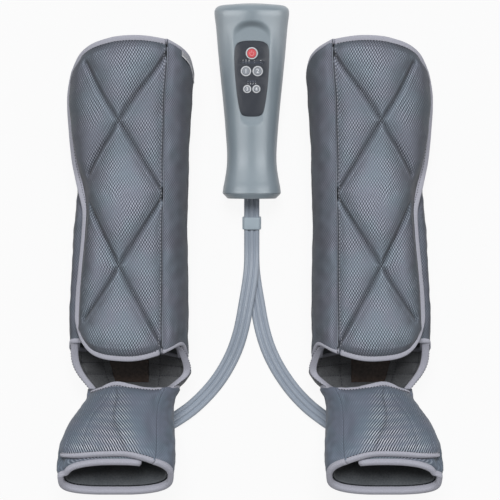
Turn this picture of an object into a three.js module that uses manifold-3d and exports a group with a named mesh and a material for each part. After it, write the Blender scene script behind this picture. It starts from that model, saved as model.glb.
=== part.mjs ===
// Air compression foot massager: two calf-and-foot wraps, a hand controller and its air hoses.
// Lengths are in millimetres. +X is to the right, +Y towards the knee end, +Z up from the table.
// Angles about a wrap are in degrees: 0 at the side that faces the controller, 90 on top.
import * as THREE from 'three';
import { mergeVertices } from 'three/addons/utils/BufferGeometryUtils.js';
import Module from 'manifold-3d';

const wasm = await Module();
wasm.setup();

// Fits that every piece shares
const clearance = 0.3;
const cut_overrun = 4;
const weld = 0.0001;
const round_sides = 16;
const small_sides = 10;

// Where the wraps and the controller lie on the table
const wrap_place_x = 120.5;
const calf_end_y = -105;
const controller_place_x = 1.8;
const controller_end_y = 49.65;

// Calf part: a padded tube that lies flat on the table along its back
const calf_length = 306;
const calf_half_width = 62.5;
const calf_half_height = 45;
const section_power = 2.3;
const flat_angle = 81;
const calf_station_shares = [0, 0.17, 0.27, 0.4, 0.53, 0.63, 0.73, 0.83, 0.93, 1.04];
const calf_width_shares = [0.95, 0.94, 0.93, 0.9, 0.89, 0.94, 0.98, 1, 0.98, 0.95];
const calf_shift_shares = [-0.02, -0.014, -0.008, 0.013, 0.04, -0.003, -0.014, -0.016, 0.04, 0.06];

// Layers of a wrap, from the outside in
const cover_thickness = 3;
const bladder_thickness = 3;
const heating_pad_thickness = 0.8;
const lining_thickness = 2;

// Calf flap: sewn on at the seam, closed over the tongue of the cover by hook and loop
const seam_angle = 56;
const seam_gap = 0.8;
const flap_thickness = 8;
const quilt_depth = 3;
const quilt_shoulder = 9;
const edge_draw = 1.5;
const hook_thickness = 1.2;
const loop_thickness = 1.2;
const closure_gap = 1;
const binding_width = 5;
const binding_overhang = 0.5;
const binding_gap = 0.9;
const binding_seam_gap = 2.6;
const roll_radius = 57;
const flap_edge_station_shares = [0, 0.17, 0.27, 0.4, 0.47, 0.53, 0.6, 0.73, 0.9, 1.05];
const flap_edge_angles = [156, 156, 149, 147.5, 152, 170, 183, 186, 186, 186];
const flap_end_angles = [56, 84, 103, 118, 130, 142, 150, 156, 172, 186];
const flap_bottom_shares = [-0.003, -0.023, -0.021, -0.012, 0.005, 0.035, 0.067, 0.1, 0.13, 0.16];
const flap_top_shares = [1, 1.033, 1.03, 1.014, 1, 0.975, 0.956, 0.94, 0.908, 0.854];
const quilt_end_angle = 136;
const quilt_columns = 8;
const edge_columns = 3;
const quilt_row_keys = [0, 2, 10, 12, 20, 22];
const seam_row_shares = [0, 0.025, 0.51, 0.523, 0.975, 1];
const quilt_row_shares = [0, 0.113, 0.479, 0.58, 0.94, 1];
const edge_row_shares = [0.118, 0.17, 0.46, 0.56, 0.79, 0.838];

// Calf cover: from the seam round the back to the tongue under the flap
const tongue_end_angle = 125;
const step_near_angle = 4;
const step_far_angle = 12;
const cover_rows = 8;
const cover_end_angles = [-235, -180, -90, 0, 25, 56];
const cover_bottom_shares = [0.03, 0.03, 0, 0.006, 0.022, 0];
const cover_top_shares = [0.9, 0.88, 0.955, 0.917, 0.965, 1];

// Foot part: a padded sleeve that stands up from the heel, seen from its toe end
const foot_gap = 40.5;
const foot_run_length = 101;
const foot_rise_height = 114;
const foot_length = 105;
const foot_half_width = 58.5;
const foot_station_shares = [0, 0.15, 0.3, 0.5, 0.75, 1];
const sole_run_shares = [0, 0.1, 0.21, 0.465, 0.733, 1];
const sole_rise_shares = [0, 0, 0.018, 0.22, 0.454, 0.684];
const instep_run_shares = [-0.069, 0.01, 0.1, 0.233, 0.416, 0.604];
const instep_rise_shares = [0.614, 0.667, 0.724, 0.807, 0.904, 1];
const foot_width_shares = [0.8, 0.76, 0.8, 0.92, 0.99, 0.98];
const foot_shift_shares = [0.06, 0.017, -0.06, -0.16, -0.205, -0.214];
const foot_cover_thickness = 2.5;
const foot_lining_thickness = 1.5;
const foot_rows = 9;
const foot_tongue_angle = 62;
const toe_binding_share = 0.05;

// Foot flap
const foot_seam_angle = 48;
const foot_flap_thickness = 5;
const foot_flap_draw = 1;
const foot_flap_edge_angle = 170;
const foot_flap_columns = 7;
const foot_flap_rows = 7;
const foot_flap_end_angles = [48, 90, 130, 170];
const foot_flap_toe_shares = [0.985, 0.97, 0.93, 0.83];
const foot_flap_ankle_shares = [0.06, 0.05, 0.055, 0.1];

// Ankle gusset: the soft wall round the heel between the calf and the foot
const gusset_inset = 1.5;
const gusset_thickness = 6;

// Hose gland under the sole
const gland_length = 16;
const gland_width = 20;
const gland_bottom = 3.4;
const gland_height = 24;
const gland_place_x = 10;
const gland_place_y = -76.5;
const gland_reach = 18;

// Controller barrel, along +Y from its base, with its front up
const controller_length = 197;
const controller_half_width = 37.7;
const barrel_depth_share = 0.86;
const barrel_wall = 2.5;
const barrel_sides = 24;
const barrel_station_shares = [
  0, 0.028, 0.062, 0.092, 0.16, 0.226, 0.329, 0.468, 0.604, 0.741, 0.878, 0.947, 0.966, 0.984, 0.994, 1,
];
const barrel_width_shares = [
  0.658, 0.782, 0.76, 0.728, 0.675, 0.663, 0.695, 0.756, 0.828, 0.897, 0.958, 1, 0.99, 0.9, 0.55, 0,
];
const base_cap_depth = 5.6;
const base_cap_spigot = 4;

// Flat face of the controller and its panel; places on it are across, and up from its middle
const face_place_share = 0.6132;
const face_place_y = face_place_share * controller_length;
const face_height = 23.3;
const face_slope = 0.0476;
const face_half_width = 19.2;
const face_half_length = 54;
const face_outline_shares = [
  [-0.6, -0.76], [-0.42, -0.806], [0.42, -0.806], [0.6, -0.76], [1, 0.722], [0.86, 0.852],
  [0.495, 0.963], [0, 1], [-0.495, 0.963], [-0.86, 0.852], [-1, 0.722],
];
const tray_wall = 3.6;
const panel_half_width = 16.5;
const panel_half_length = 38;
const panel_outline_shares = [
  [-0.485, -0.979], [0, -1], [0.485, -0.979], [0.68, -0.895], [1, 0.829],
  [0.758, 0.947], [0, 0.99], [-0.758, 0.947], [-1, 0.829], [-0.68, -0.895],
];
const panel_thickness = 1.6;
const panel_stand = 0.5;
const button_crown = 1.1;
const button_skirt = 1;
const button_travel = 0.8;
const stem_radius = 1.5;
const buttons = [
  { name: 'power_button', across: 0, up: 25.2, radius: 6.1 },
  { name: 'calf_mode_button', across: -5.9, up: 7.3, radius: 5.2 },
  { name: 'foot_mode_button', across: 5.9, up: 7.3, radius: 5.2 },
  { name: 'intensity_button', across: -4.6, up: -10.6, radius: 4.1 },
  { name: 'heat_button', across: 4.6, up: -10.6, radius: 4.1 },
];
const status_window_height = 1.8;
const status_windows = [
  { name: 'upper_status_window', across: 0, up: 15.8, width: 21 },
  { name: 'lower_status_window', across: 0, up: -2.9, width: 9 },
];

// Inside the controller
const board_thickness = 1.6;
const stem_length = 4.1;
const switch_size = 4.4;
const switch_height = 3.5;
const button_board_width = 19;
const button_board_length = 50;
const button_board_up = 7.3;
const board_post_radius = 1.6;
const board_post_inset = 2;
const main_board_width = 30;
const main_board_head_gap = 1.7;
const main_board_boss_gap = 5;
const main_board_height = 2;
const main_post_radius = 2;
const main_post_inset = 6;
const rib_thickness = 2.4;
const rib_height = -12;
const rib_width = 22;
const valve_block_width = 20;
const valve_block_height = 8;
const valve_block_head_gap = 5.7;
const valve_boss_gap = 19.7;
const valve_radius = 4.2;
const valve_length = 13;
const valve_spacing = 10;
const motor_radius = 11.5;
const motor_length = 26;
const motor_boss_gap = 3;
const motor_height = -7.4;
const pump_head_width = 22;
const pump_head_length = 22;
const pump_head_height = 17;
const air_block_width = 20;
const air_block_rise = 15;
const air_block_boss_gap = 2.6;
const air_block_height = -9.6;
const jack_radius = 4.6;
const jack_length = 9;
const jack_bore = 3.2;
const jack_height = 8.5;
const screw_place_shares = [0.135, 0.86];
const screw_head_radius = 2.7;
const screw_head_height = 2.2;
const screw_radius = 1.5;
const screw_length = 13;
const screw_seat = -13;
const boss_radius = 4.4;
const boss_meeting = -8;

const lower_boss_y = screw_place_shares[0] * controller_length;
const upper_boss_y = screw_place_shares[1] * controller_length;
const motor_start = lower_boss_y + boss_radius + motor_boss_gap;
const pump_head_start = motor_start + motor_length + clearance;
const pump_head_end = pump_head_start + pump_head_length;
const main_board_start = pump_head_end + main_board_head_gap;
const main_board_end = upper_boss_y - boss_radius - main_board_boss_gap;
const valve_block_start = pump_head_end + valve_block_head_gap;
const valve_end = upper_boss_y - boss_radius - valve_boss_gap;
const valve_block_end = valve_end - valve_length - clearance;
const air_block_start = base_cap_depth + base_cap_spigot;
const air_block_end = lower_boss_y - boss_radius - air_block_boss_gap;

// Hoses: each ribbon is three fused tubes
const hose_radius = 2.6;
const ribbon_half_outline_shares = [[-3, 0], [-2, 1], [-1, 0.6], [0, 1], [1, 0.6], [2, 1]];
const ribbon_gap = 0.6;
const ribbon_steps = 22;
const outlet_height = -9.6;
const clip_wall = 1.5;
const clip_length = 12.5;
const clip_place_y = 25;
const clip_height = 9.9;
const clip_tilt = 0.1;

// Route of the left ribbon, from the controller to the gland under the left foot
const left_route = [
  [1.8, 58.9, 18.85], [1.8, 50, 18.5], [1.8, 44, 17.7], [1.8, 37.5, 15.6], [1.8, 31, 13.7],
  [1.8, 25, 12.9], [1.8, 19, 12.3], [1.8, 8, 10.3],
  [1.8, -2, 9.0], [1.7, -14, 8.5], [1, -25, 8.5], [-1.3, -42, 8.5], [-3.9, -57, 8.5], [-6.5, -72, 8.1],
  [-10, -87.5, 6.6], [-15, -103, 4.7], [-22.2, -118.5, 3.3], [-31.7, -134, 2.9], [-44, -149, 3.2],
  [-59, -163.2, 4.2], [-71, -171.8, 5.8], [-80, -177.3, 7.4], [-87, -181.1, 8.5], [-93.8, -181.5, 8.6],
];
// Route of the right ribbon, which lies under the left one as far as the fork
const right_route = [
  [1.8, 58.9, 13.05], [1.8, 50, 12.7], [1.8, 44, 11.9], [1.8, 37.5, 9.8], [1.8, 31, 7.9],
  [1.8, 25, 7.1], [1.8, 19, 6.5], [1.8, 8, 4.5],
  [1.8, -2, 3.2], [1.9, -14, 2.7], [2.6, -25, 2.7], [4.9, -42, 2.7], [7.5, -57, 2.7], [10.1, -72, 2.7],
  [13.6, -87.5, 2.7], [18.6, -103, 2.7], [25.8, -118.5, 2.7], [35.3, -134, 2.9], [46, -148, 3.2],
  [59.5, -161.8, 4.2], [71, -170.9, 5.8], [80, -177.2, 7.4], [87, -181.1, 8.5], [93.8, -181.5, 8.6],
];

// Finishes
const spacer_mesh = finish(0x6d7884, 0.9);
const dark_mesh = finish(0x59626d, 0.9);
const binding_tape = finish(0x9b9ba8, 0.85);
const lining_cloth = finish(0x596066, 0.95);
const bladder_film = finish(0x8f979c, 0.45);
const heater_felt = finish(0x4a3a33, 0.9);
const hook_tape = finish(0x3f444b, 0.95);
const housing_plastic = finish(0x89989f, 0.4);
const panel_film = finish(0x41464f, 0.35);
const button_plastic = finish(0xd5d9dc, 0.4);
const power_plastic = finish(0xc9505a, 0.4);
const window_plastic = finish(0x5c626b, 0.2);
const board_laminate = finish(0x2f5a3f, 0.5);
const inner_plastic = finish(0x3b3f44, 0.5);
const motor_steel = finish(0xa7abaf, 0.35, 0.9);
const screw_steel = finish(0x6f7377, 0.4, 0.9);
const hose_vinyl = finish(0xa3b2bc, 0.35);

function finish(color, roughness, metalness = 0) {
  return new THREE.MeshStandardMaterial({ color, roughness, metalness });
}

// A straight or smooth line through a table's values, at a place between its keys
function between(keys, values, place) {
  const last = keys.length - 2;
  const next = keys.findIndex((key) => key > place);
  const k = next < 0 ? last : Math.max(next - 1, 0);
  return THREE.MathUtils.mapLinear(place, keys[k], keys[k + 1], values[k], values[k + 1]);
}

function slopeAt(keys, values, k) {
  const before = Math.max(k - 1, 0);
  const after = Math.min(k + 1, keys.length - 1);
  return (values[after] - values[before]) / (keys[after] - keys[before]);
}

function smooth(keys, values, place) {
  const last = keys.length - 2;
  const next = keys.findIndex((key) => key > place);
  const k = next < 0 ? last : Math.max(next - 1, 0);
  const span = keys[k + 1] - keys[k];
  const t = THREE.MathUtils.clamp((place - keys[k]) / span, 0, 1);
  const rise = t * t * (3 - 2 * t);
  const leaving = t * (1 - t) * (1 - t) * span * slopeAt(keys, values, k);
  const arriving = t * t * (t - 1) * span * slopeAt(keys, values, k + 1);
  return values[k] + (values[k + 1] - values[k]) * rise + leaving + arriving;
}

function rounded(value) {
  return Math.sign(value) * Math.abs(value) ** (2 / section_power);
}

const flat_share = rounded(Math.sin(THREE.MathUtils.degToRad(flat_angle)));

// A point of the calf tube at an angle and a distance from its ankle end, some depth below the skin
function calfPoint(angle, y, depth) {
  const turn = THREE.MathUtils.degToRad(angle);
  const station = y / calf_length;
  const half_width = calf_half_width * smooth(calf_station_shares, calf_width_shares, station);
  const middle = calf_half_width * smooth(calf_station_shares, calf_shift_shares, station);
  const x = middle + (half_width - depth) * rounded(Math.cos(turn));
  const z = calf_half_height * flat_share + (calf_half_height - depth) * rounded(Math.sin(turn));
  return [x, y, z];
}

// A point of the foot sleeve at an angle and a share of the way from the ankle to the toes
function footPoint(angle, share, depth) {
  const turn = THREE.MathUtils.degToRad(angle);
  const at = (values) => smooth(foot_station_shares, values, share);
  const sole_y = -foot_gap - foot_run_length * at(sole_run_shares);
  const sole_z = foot_rise_height * Math.max(at(sole_rise_shares), 0);
  const instep_y = -foot_gap - foot_run_length * at(instep_run_shares);
  const instep_z = foot_rise_height * at(instep_rise_shares);
  const height = Math.hypot(instep_y - sole_y, instep_z - sole_z);
  const up_y = (instep_y - sole_y) / height;
  const up_z = (instep_z - sole_z) / height;
  const half_height = height / (1 + flat_share);
  const lift = half_height * flat_share + (half_height - depth) * rounded(Math.sin(turn));
  const half_width = foot_half_width * at(foot_width_shares) - depth;
  const x = foot_half_width * at(foot_shift_shares) + half_width * rounded(Math.cos(turn));
  return [x, sole_y + up_y * lift, sole_z + up_z * lift];
}

// A closed sheet between two depths of a surface; point(i, j, depth) places its grid
function sheet(point, columns, rows, outer, inner, creased = () => true) {
  const wide = columns[1] - columns[0];
  const tall = rows[1] - rows[0];
  const positions = [];
  for (const depth of [outer, inner]) {
    for (let j = rows[0]; j <= rows[1]; j += 1) {
      for (let i = columns[0]; i <= columns[1]; i += 1) positions.push(...point(i, j, depth(i, j)));
    }
  }
  const at = (side, i, j) => (side * (tall + 1) + j) * (wide + 1) + i;
  const index = [];
  const quad = (a, b, c, d) => index.push(a, b, c, a, c, d);
  for (let j = 0; j < tall; j += 1) {
    for (let i = 0; i < wide; i += 1) {
      for (const side of [0, 1]) {
        const corners = [at(side, i, j), at(side, i + 1, j), at(side, i + 1, j + 1), at(side, i, j + 1)];
        if (!creased(columns[0] + i, rows[0] + j)) corners.push(corners.shift());
        if (side === 1) corners.reverse();
        // both sides keep the same diagonal, so the sheet has an even thickness
        if (side === 1) corners.unshift(corners.pop());
        quad(...corners);
      }
    }
  }
  for (let i = 0; i < wide; i += 1) {
    quad(at(0, i, 0), at(1, i, 0), at(1, i + 1, 0), at(0, i + 1, 0));
    quad(at(0, i + 1, tall), at(1, i + 1, tall), at(1, i, tall), at(0, i, tall));
  }
  for (let j = 0; j < tall; j += 1) {
    quad(at(0, 0, j + 1), at(1, 0, j + 1), at(1, 0, j), at(0, 0, j));
    quad(at(0, wide, j), at(1, wide, j), at(1, wide, j + 1), at(0, wide, j + 1));
  }
  const geometry = new THREE.BufferGeometry();
  geometry.setAttribute('position', new THREE.Float32BufferAttribute(positions, 3));
  geometry.setIndex(index);
  return facingOut(geometry);
}

// Turns a closed mesh's faces outwards if its volume comes out negative
function facingOut(geometry) {
  const corner = [new THREE.Vector3(), new THREE.Vector3(), new THREE.Vector3()];
  const place = geometry.attributes.position;
  const index = geometry.index.array;
  let volume = 0;
  for (let f = 0; f < index.length; f += 3) {
    corner.forEach((v, k) => v.fromBufferAttribute(place, index[f + k]));
    volume += corner[0].dot(corner[1].cross(corner[2]));
  }
  if (volume < 0) index.reverse();
  return geometry;
}

// The same geometry with only its positions, and each shared corner once
function welded(geometry) {
  const bare = geometry.clone();
  bare.deleteAttribute('normal');
  bare.deleteAttribute('uv');
  return mergeVertices(bare, weld);
}

function solid(geometry) {
  const merged = welded(geometry);
  const vertProperties = new Float32Array(merged.attributes.position.array);
  const triVerts = new Uint32Array(merged.index.array);
  return new wasm.Manifold(new wasm.Mesh({ numProp: 3, vertProperties, triVerts }));
}

function surface(manifold) {
  const mesh = manifold.getMesh();
  const geometry = new THREE.BufferGeometry();
  geometry.setAttribute('position', new THREE.BufferAttribute(mesh.vertProperties, 3));
  geometry.setIndex(new THREE.BufferAttribute(mesh.triVerts, 1));
  return geometry;
}

function block(low, high) {
  const size = high.map((value, k) => value - low[k]);
  const middle = high.map((value, k) => (value + low[k]) / 2);
  return new THREE.BoxGeometry(...size).translate(...middle);
}

// A round pin along +Z between two heights
function pin(radius, x, y, low, high, sides = round_sides) {
  const geometry = new THREE.CylinderGeometry(radius, radius, high - low, sides);
  return geometry.rotateX(Math.PI / 2).translate(x, y, (low + high) / 2);
}

// Corners of an outline that is written in shares of its half width and half length
function corners(shares, half_width, half_length) {
  return shares.map(([x, y]) => new THREE.Vector2(x * half_width, y * half_length));
}

// A plate with a drawn outline between two heights
function plate(outline, low, high) {
  const shape = new THREE.Shape(outline);
  const geometry = new THREE.ExtrudeGeometry(shape, { depth: high - low, bevelEnabled: false });
  return geometry.translate(0, 0, low);
}

function add(group, name, geometry, material) {
  const mesh = new THREE.Mesh(geometry, material.clone());
  mesh.name = name;
  group.add(mesh);
  return mesh;
}

// Columns of a wrap's cover: down from the seam, a flat strip, up the far side, a step and the tongue
function coverAngles(seam, edge, tongue, counts) {
  const angles = [];
  const run = (from, to, count) => {
    for (let k = 0; k < count; k += 1) angles.push(THREE.MathUtils.lerp(from, to, k / count));
  };
  run(seam, -flat_angle, counts[0]);
  run(-flat_angle, flat_angle - 180, 1);
  run(flat_angle - 180, edge - 360 + step_far_angle, counts[1]);
  run(edge - 360 + step_far_angle, edge - 360 + step_near_angle, 1);
  run(edge - 360 + step_near_angle, tongue - 360, counts[2]);
  angles.push(tongue - 360);
  return angles;
}

// Counts of a cover's columns on its near side, its far side and its tongue
const calf_counts = [7, 4, 3];
const foot_counts = [6, 3, 5];

// Rows and columns of the cover's grid that the pieces on it span
const calf_bladder_rows = [1, 7];
const heating_pad_rows = [2, 5];
const heating_pad_inset_columns = 4;
const loop_patch_rows = [1, 6];
const calf_hook_columns = [6, 8];
const calf_hook_rows = [3, 18];
const foot_bladder_rows = [2, 8];
const foot_hook_columns = [4, 6];
const foot_hook_rows = [2, 5];
const gusset_rows = 2;
const all_columns = (counts) => [0, counts[0] + counts[1] + counts[2] + 2];
const step_column = (counts) => counts[0] + counts[1] + 1;

function calfCoverPoint(i, j, depth) {
  const row = j / cover_rows;
  const edge = smooth(flap_edge_station_shares, flap_edge_angles, row);
  const angle = coverAngles(seam_angle, edge, tongue_end_angle, calf_counts)[i];
  const bottom = smooth(cover_end_angles, cover_bottom_shares, angle);
  const top = smooth(cover_end_angles, cover_top_shares, angle);
  return calfPoint(angle, calf_length * THREE.MathUtils.lerp(bottom, top, row), depth);
}

function footCoverPoint(i, j, depth) {
  const share = (j / foot_rows) * (1 - toe_binding_share);
  const angle = coverAngles(foot_seam_angle, foot_flap_edge_angle, foot_tongue_angle, foot_counts)[i];
  return footPoint(angle, share, depth);
}

const tongue_depth = flap_thickness + clearance + hook_thickness + closure_gap + loop_thickness + clearance;
const foot_tongue_depth = foot_flap_thickness + clearance + hook_thickness + clearance;

// Depth of a layer that follows the cover, which steps down to the tongue under the flap
function follow(base, counts, tongue, extra) {
  return (i) => (i > step_column(counts) ? Math.max(base, tongue + extra) : base);
}

// Place of a calf flap's grid node, as an angle and a distance from the ankle end
function calfFlapNode(i, j) {
  const band = binding_width + binding_gap;
  const at = (angle, shares, f) => {
    const low = calf_length * smooth(flap_end_angles, flap_bottom_shares, angle) + band;
    const high = calf_length * smooth(flap_end_angles, flap_top_shares, angle) - band;
    const rows = shares.map((share, k) => calf_length * THREE.MathUtils.lerp(seam_row_shares[k], share, f));
    rows[0] = low;
    rows[rows.length - 1] = high;
    return between(quilt_row_keys, rows, j);
  };
  const start = seam_angle + THREE.MathUtils.radToDeg(seam_gap / roll_radius);
  if (i <= quilt_columns) {
    const f = i / quilt_columns;
    const angle = THREE.MathUtils.lerp(start, quilt_end_angle, f);
    return [angle, at(angle, quilt_row_shares, f)];
  }
  const edge_y = calf_length * between(quilt_row_keys, edge_row_shares, j);
  const edge = smooth(flap_edge_station_shares, flap_edge_angles, edge_y / calf_length);
  const edge_angle = edge - THREE.MathUtils.radToDeg(band / roll_radius);
  const f = (i - quilt_columns) / edge_columns;
  const near_y = at(quilt_end_angle, quilt_row_shares, 1);
  return [THREE.MathUtils.lerp(quilt_end_angle, edge_angle, f), THREE.MathUtils.lerp(near_y, edge_y, f)];
}

// Distance on the unrolled flap from a node to the nearest of the four sewn channels
function channelDistance(angle, y) {
  const unroll = (a) => THREE.MathUtils.degToRad(a) * roll_radius;
  let nearest = Infinity;
  for (const [low, high] of [[1, 2], [3, 4]]) {
    for (const [from, to] of [[low, high], [high, low]]) {
      const a = new THREE.Vector2(unroll(seam_angle), calf_length * seam_row_shares[from]);
      const b = new THREE.Vector2(unroll(quilt_end_angle), calf_length * quilt_row_shares[to]);
      const along = b.clone().sub(a);
      const reach = new THREE.Vector2(unroll(angle), y).sub(a);
      const t = THREE.MathUtils.clamp(reach.dot(along) / along.lengthSq(), 0, 1);
      nearest = Math.min(nearest, reach.sub(along.multiplyScalar(t)).length());
    }
  }
  return nearest;
}

// Outline of a flap's grid, from the seam along one end, the far edge and back along the other end
function outlineNodes(node, columns, rows, unit) {
  const nodes = [];
  for (let i = 0; i <= columns; i += 1) nodes.push(node(i, 0));
  for (let j = 1; j < rows; j += 1) nodes.push(node(columns, j));
  for (let i = columns; i >= 0; i -= 1) nodes.push(node(i, rows));
  const unroll = (angle) => THREE.MathUtils.degToRad(angle) * roll_radius;
  return nodes.map(([angle, along]) => new THREE.Vector2(unroll(angle), along * unit));
}

// The binding round a flap: its grid runs along the outline, from its inner edge to its outer edge
function bindingGeometry(node, columns, rows, unit, place, thickness) {
  const line = outlineNodes(node, columns, rows, unit);
  const last = line.length - 1;
  for (const [end, next] of [[0, 1], [last, last - 1]]) {
    line[end].lerp(line[next], binding_seam_gap / line[end].distanceTo(line[next]));
  }
  const offset = (k, distance) => {
    const before = line[Math.max(k - 1, 0)];
    const after = line[Math.min(k + 1, last)];
    const along = after.clone().sub(before).normalize();
    const into = line[k].clone().sub(before);
    const out = after.clone().sub(line[k]);
    const half = into.length() && out.length() ? into.normalize().dot(out.normalize()) : 1;
    const miter = distance / Math.sqrt(Math.max((1 + half) / 2, 0.5));
    const outward = new THREE.Vector2(along.y, -along.x);
    if (k === 0 || k === last) outward.set(0, Math.sign(outward.y));
    return outward.multiplyScalar(miter).add(line[k]);
  };
  const point = (i, k, depth) => {
    const at = offset(k, i === 0 ? binding_gap : binding_gap + binding_width);
    return place(THREE.MathUtils.radToDeg(at.x / roll_radius), at.y / unit, depth);
  };
  return sheet(point, [0, 1], [0, last], () => -binding_overhang, () => thickness + binding_overhang);
}

function footFlapNode(i, j) {
  const start = foot_seam_angle + THREE.MathUtils.radToDeg(seam_gap / roll_radius);
  const band = THREE.MathUtils.radToDeg((binding_width + binding_gap) / roll_radius);
  const angle = THREE.MathUtils.lerp(start, foot_flap_edge_angle - band, i / foot_flap_columns);
  const ankle = smooth(foot_flap_end_angles, foot_flap_ankle_shares, angle);
  const toe = smooth(foot_flap_end_angles, foot_flap_toe_shares, angle) - binding_width / foot_length;
  return [angle, THREE.MathUtils.lerp(ankle, toe, j / foot_flap_rows)];
}

function calfPieces(group, side) {
  const columns = all_columns(calf_counts);
  const step = step_column(calf_counts);
  const rows = [0, cover_rows];
  const skin = follow(0, calf_counts, tongue_depth, 0);
  const below = (depth) => follow(depth, calf_counts, tongue_depth, cover_thickness + clearance);
  const covered = (i) => skin(i) + cover_thickness;
  add(group, `${side}_calf_cover`, sheet(calfCoverPoint, columns, rows, skin, covered), spacer_mesh);

  const bladder_top = cover_thickness + clearance;
  const bladder_end = bladder_top + bladder_thickness;
  const bladder_depths = [() => bladder_top, () => bladder_end];
  const bladder = sheet(calfCoverPoint, [1, step - 2], calf_bladder_rows, ...bladder_depths);
  add(group, `${side}_calf_air_bladder`, bladder, bladder_film);

  const pad_top = bladder_end + clearance;
  const pad_end = pad_top + heating_pad_thickness;
  const pad_columns = [heating_pad_inset_columns, step - heating_pad_inset_columns];
  const pad = sheet(calfCoverPoint, pad_columns, heating_pad_rows, () => pad_top, () => pad_end);
  add(group, `${side}_calf_heating_pad`, pad, heater_felt);

  const lining_top = below(pad_end + clearance);
  const lining_end = (i) => lining_top(i) + lining_thickness;
  const lining = sheet(calfCoverPoint, columns, rows, lining_top, lining_end);
  add(group, `${side}_calf_lining`, lining, lining_cloth);

  const loop_end = tongue_depth - clearance;
  const loop_top = loop_end - loop_thickness;
  const loop_columns = [step + 1, columns[1]];
  const loop = sheet(calfCoverPoint, loop_columns, loop_patch_rows, () => loop_top, () => loop_end);
  add(group, `${side}_calf_loop_patch`, loop, hook_tape);
}

function calfFlapPieces(group, side) {
  const columns = quilt_columns + edge_columns;
  const rows = quilt_row_keys[quilt_row_keys.length - 1];
  const point = (i, j, depth) => calfPoint(...calfFlapNode(i, j), depth);
  const puffed = (i, j) => {
    const dip = quilt_depth * Math.exp(-((channelDistance(...calfFlapNode(i, j)) / quilt_shoulder) ** 2));
    const border = i === 0 || i === columns || j === 0 || j === rows;
    return Math.max(dip, border ? edge_draw : 0);
  };
  const inside = () => flap_thickness;
  const creased = (i, j) => puffed(i, j) + puffed(i + 1, j + 1) >= puffed(i + 1, j) + puffed(i, j + 1);
  const flap = sheet(point, [0, columns], [0, rows], puffed, inside, creased);
  add(group, `${side}_calf_flap`, flap, spacer_mesh);
  const binding = bindingGeometry(calfFlapNode, columns, rows, 1, calfPoint, flap_thickness);
  add(group, `${side}_calf_flap_binding`, binding, binding_tape);
  const hook_top = flap_thickness + clearance;
  const hook_end = hook_top + hook_thickness;
  const hook = sheet(point, calf_hook_columns, calf_hook_rows, () => hook_top, () => hook_end, creased);
  add(group, `${side}_calf_hook_strip`, hook, hook_tape);
}

// Its columns carry on those of the calf cover, but for the seam and the tongue
function gussetPoint(i, j, depth) {
  const angle = coverAngles(seam_angle, flap_edge_angles[0], tongue_end_angle, calf_counts)[i];
  const cover_end = calf_length * smooth(cover_end_angles, cover_bottom_shares, angle);
  const near = new THREE.Vector3(...calfPoint(angle, cover_end - clearance, depth));
  const far = new THREE.Vector3(...footPoint(angle, 0, depth));
  far.y += clearance;
  return near.lerp(far, j / gusset_rows).toArray();
}

function footPieces(group, side) {
  const columns = all_columns(foot_counts);
  const step = step_column(foot_counts);
  const rows = [0, foot_rows];
  const skin = follow(0, foot_counts, foot_tongue_depth, 0);
  const covered = (i) => skin(i) + foot_cover_thickness;
  add(group, `${side}_foot_cover`, sheet(footCoverPoint, columns, rows, skin, covered), dark_mesh);

  const bladder_top = foot_cover_thickness + clearance;
  const bladder_end = bladder_top + bladder_thickness;
  const bladder_depths = [() => bladder_top, () => bladder_end];
  const bladder = sheet(footCoverPoint, [2, step - 1], foot_bladder_rows, ...bladder_depths);
  add(group, `${side}_foot_air_bladder`, bladder, bladder_film);

  const below_cover = foot_cover_thickness + clearance;
  const lining_top = follow(bladder_end + clearance, foot_counts, foot_tongue_depth, below_cover);
  const lining_end = (i) => lining_top(i) + foot_lining_thickness;
  const lining = sheet(footCoverPoint, columns, rows, lining_top, lining_end);
  add(group, `${side}_foot_lining`, lining, lining_cloth);

  const toe_start = 1 - toe_binding_share + clearance / foot_length;
  const toePoint = (i, j, depth) => {
    const angle = coverAngles(foot_seam_angle, foot_flap_edge_angle, foot_tongue_angle, foot_counts)[i];
    return footPoint(angle, THREE.MathUtils.lerp(toe_start, 1, j), depth);
  };
  const binding = sheet(toePoint, columns, [0, 1], skin, lining_end);
  add(group, `${side}_toe_binding`, binding, binding_tape);

  const gland = block(
    [gland_place_x, gland_place_y - gland_width / 2, gland_bottom],
    [gland_place_x + gland_length, gland_place_y + gland_width / 2, gland_height],
  );
  const sole = sheet(footCoverPoint, columns, rows, () => -clearance, () => gland_reach);
  add(group, `${side}_hose_gland`, surface(solid(gland).subtract(solid(sole))), inner_plastic);
}

function footFlapPieces(group, side) {
  const columns = foot_flap_columns;
  const rows = foot_flap_rows;
  const point = (i, j, depth) => footPoint(...footFlapNode(i, j), depth);
  const drawn = (i, j) => (i === 0 || i === columns || j === 0 || j === rows ? foot_flap_draw : 0);
  const flap = sheet(point, [0, columns], [0, rows], drawn, () => foot_flap_thickness);
  add(group, `${side}_foot_flap`, flap, dark_mesh);
  const binding = bindingGeometry(footFlapNode, columns, rows, foot_length, footPoint, foot_flap_thickness);
  add(group, `${side}_foot_flap_binding`, binding, binding_tape);
  const hook_top = foot_flap_thickness + clearance;
  const hook_end = hook_top + hook_thickness;
  const hook = sheet(point, foot_hook_columns, foot_hook_rows, () => hook_top, () => hook_end);
  add(group, `${side}_foot_hook_strip`, hook, hook_tape);
}

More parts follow.
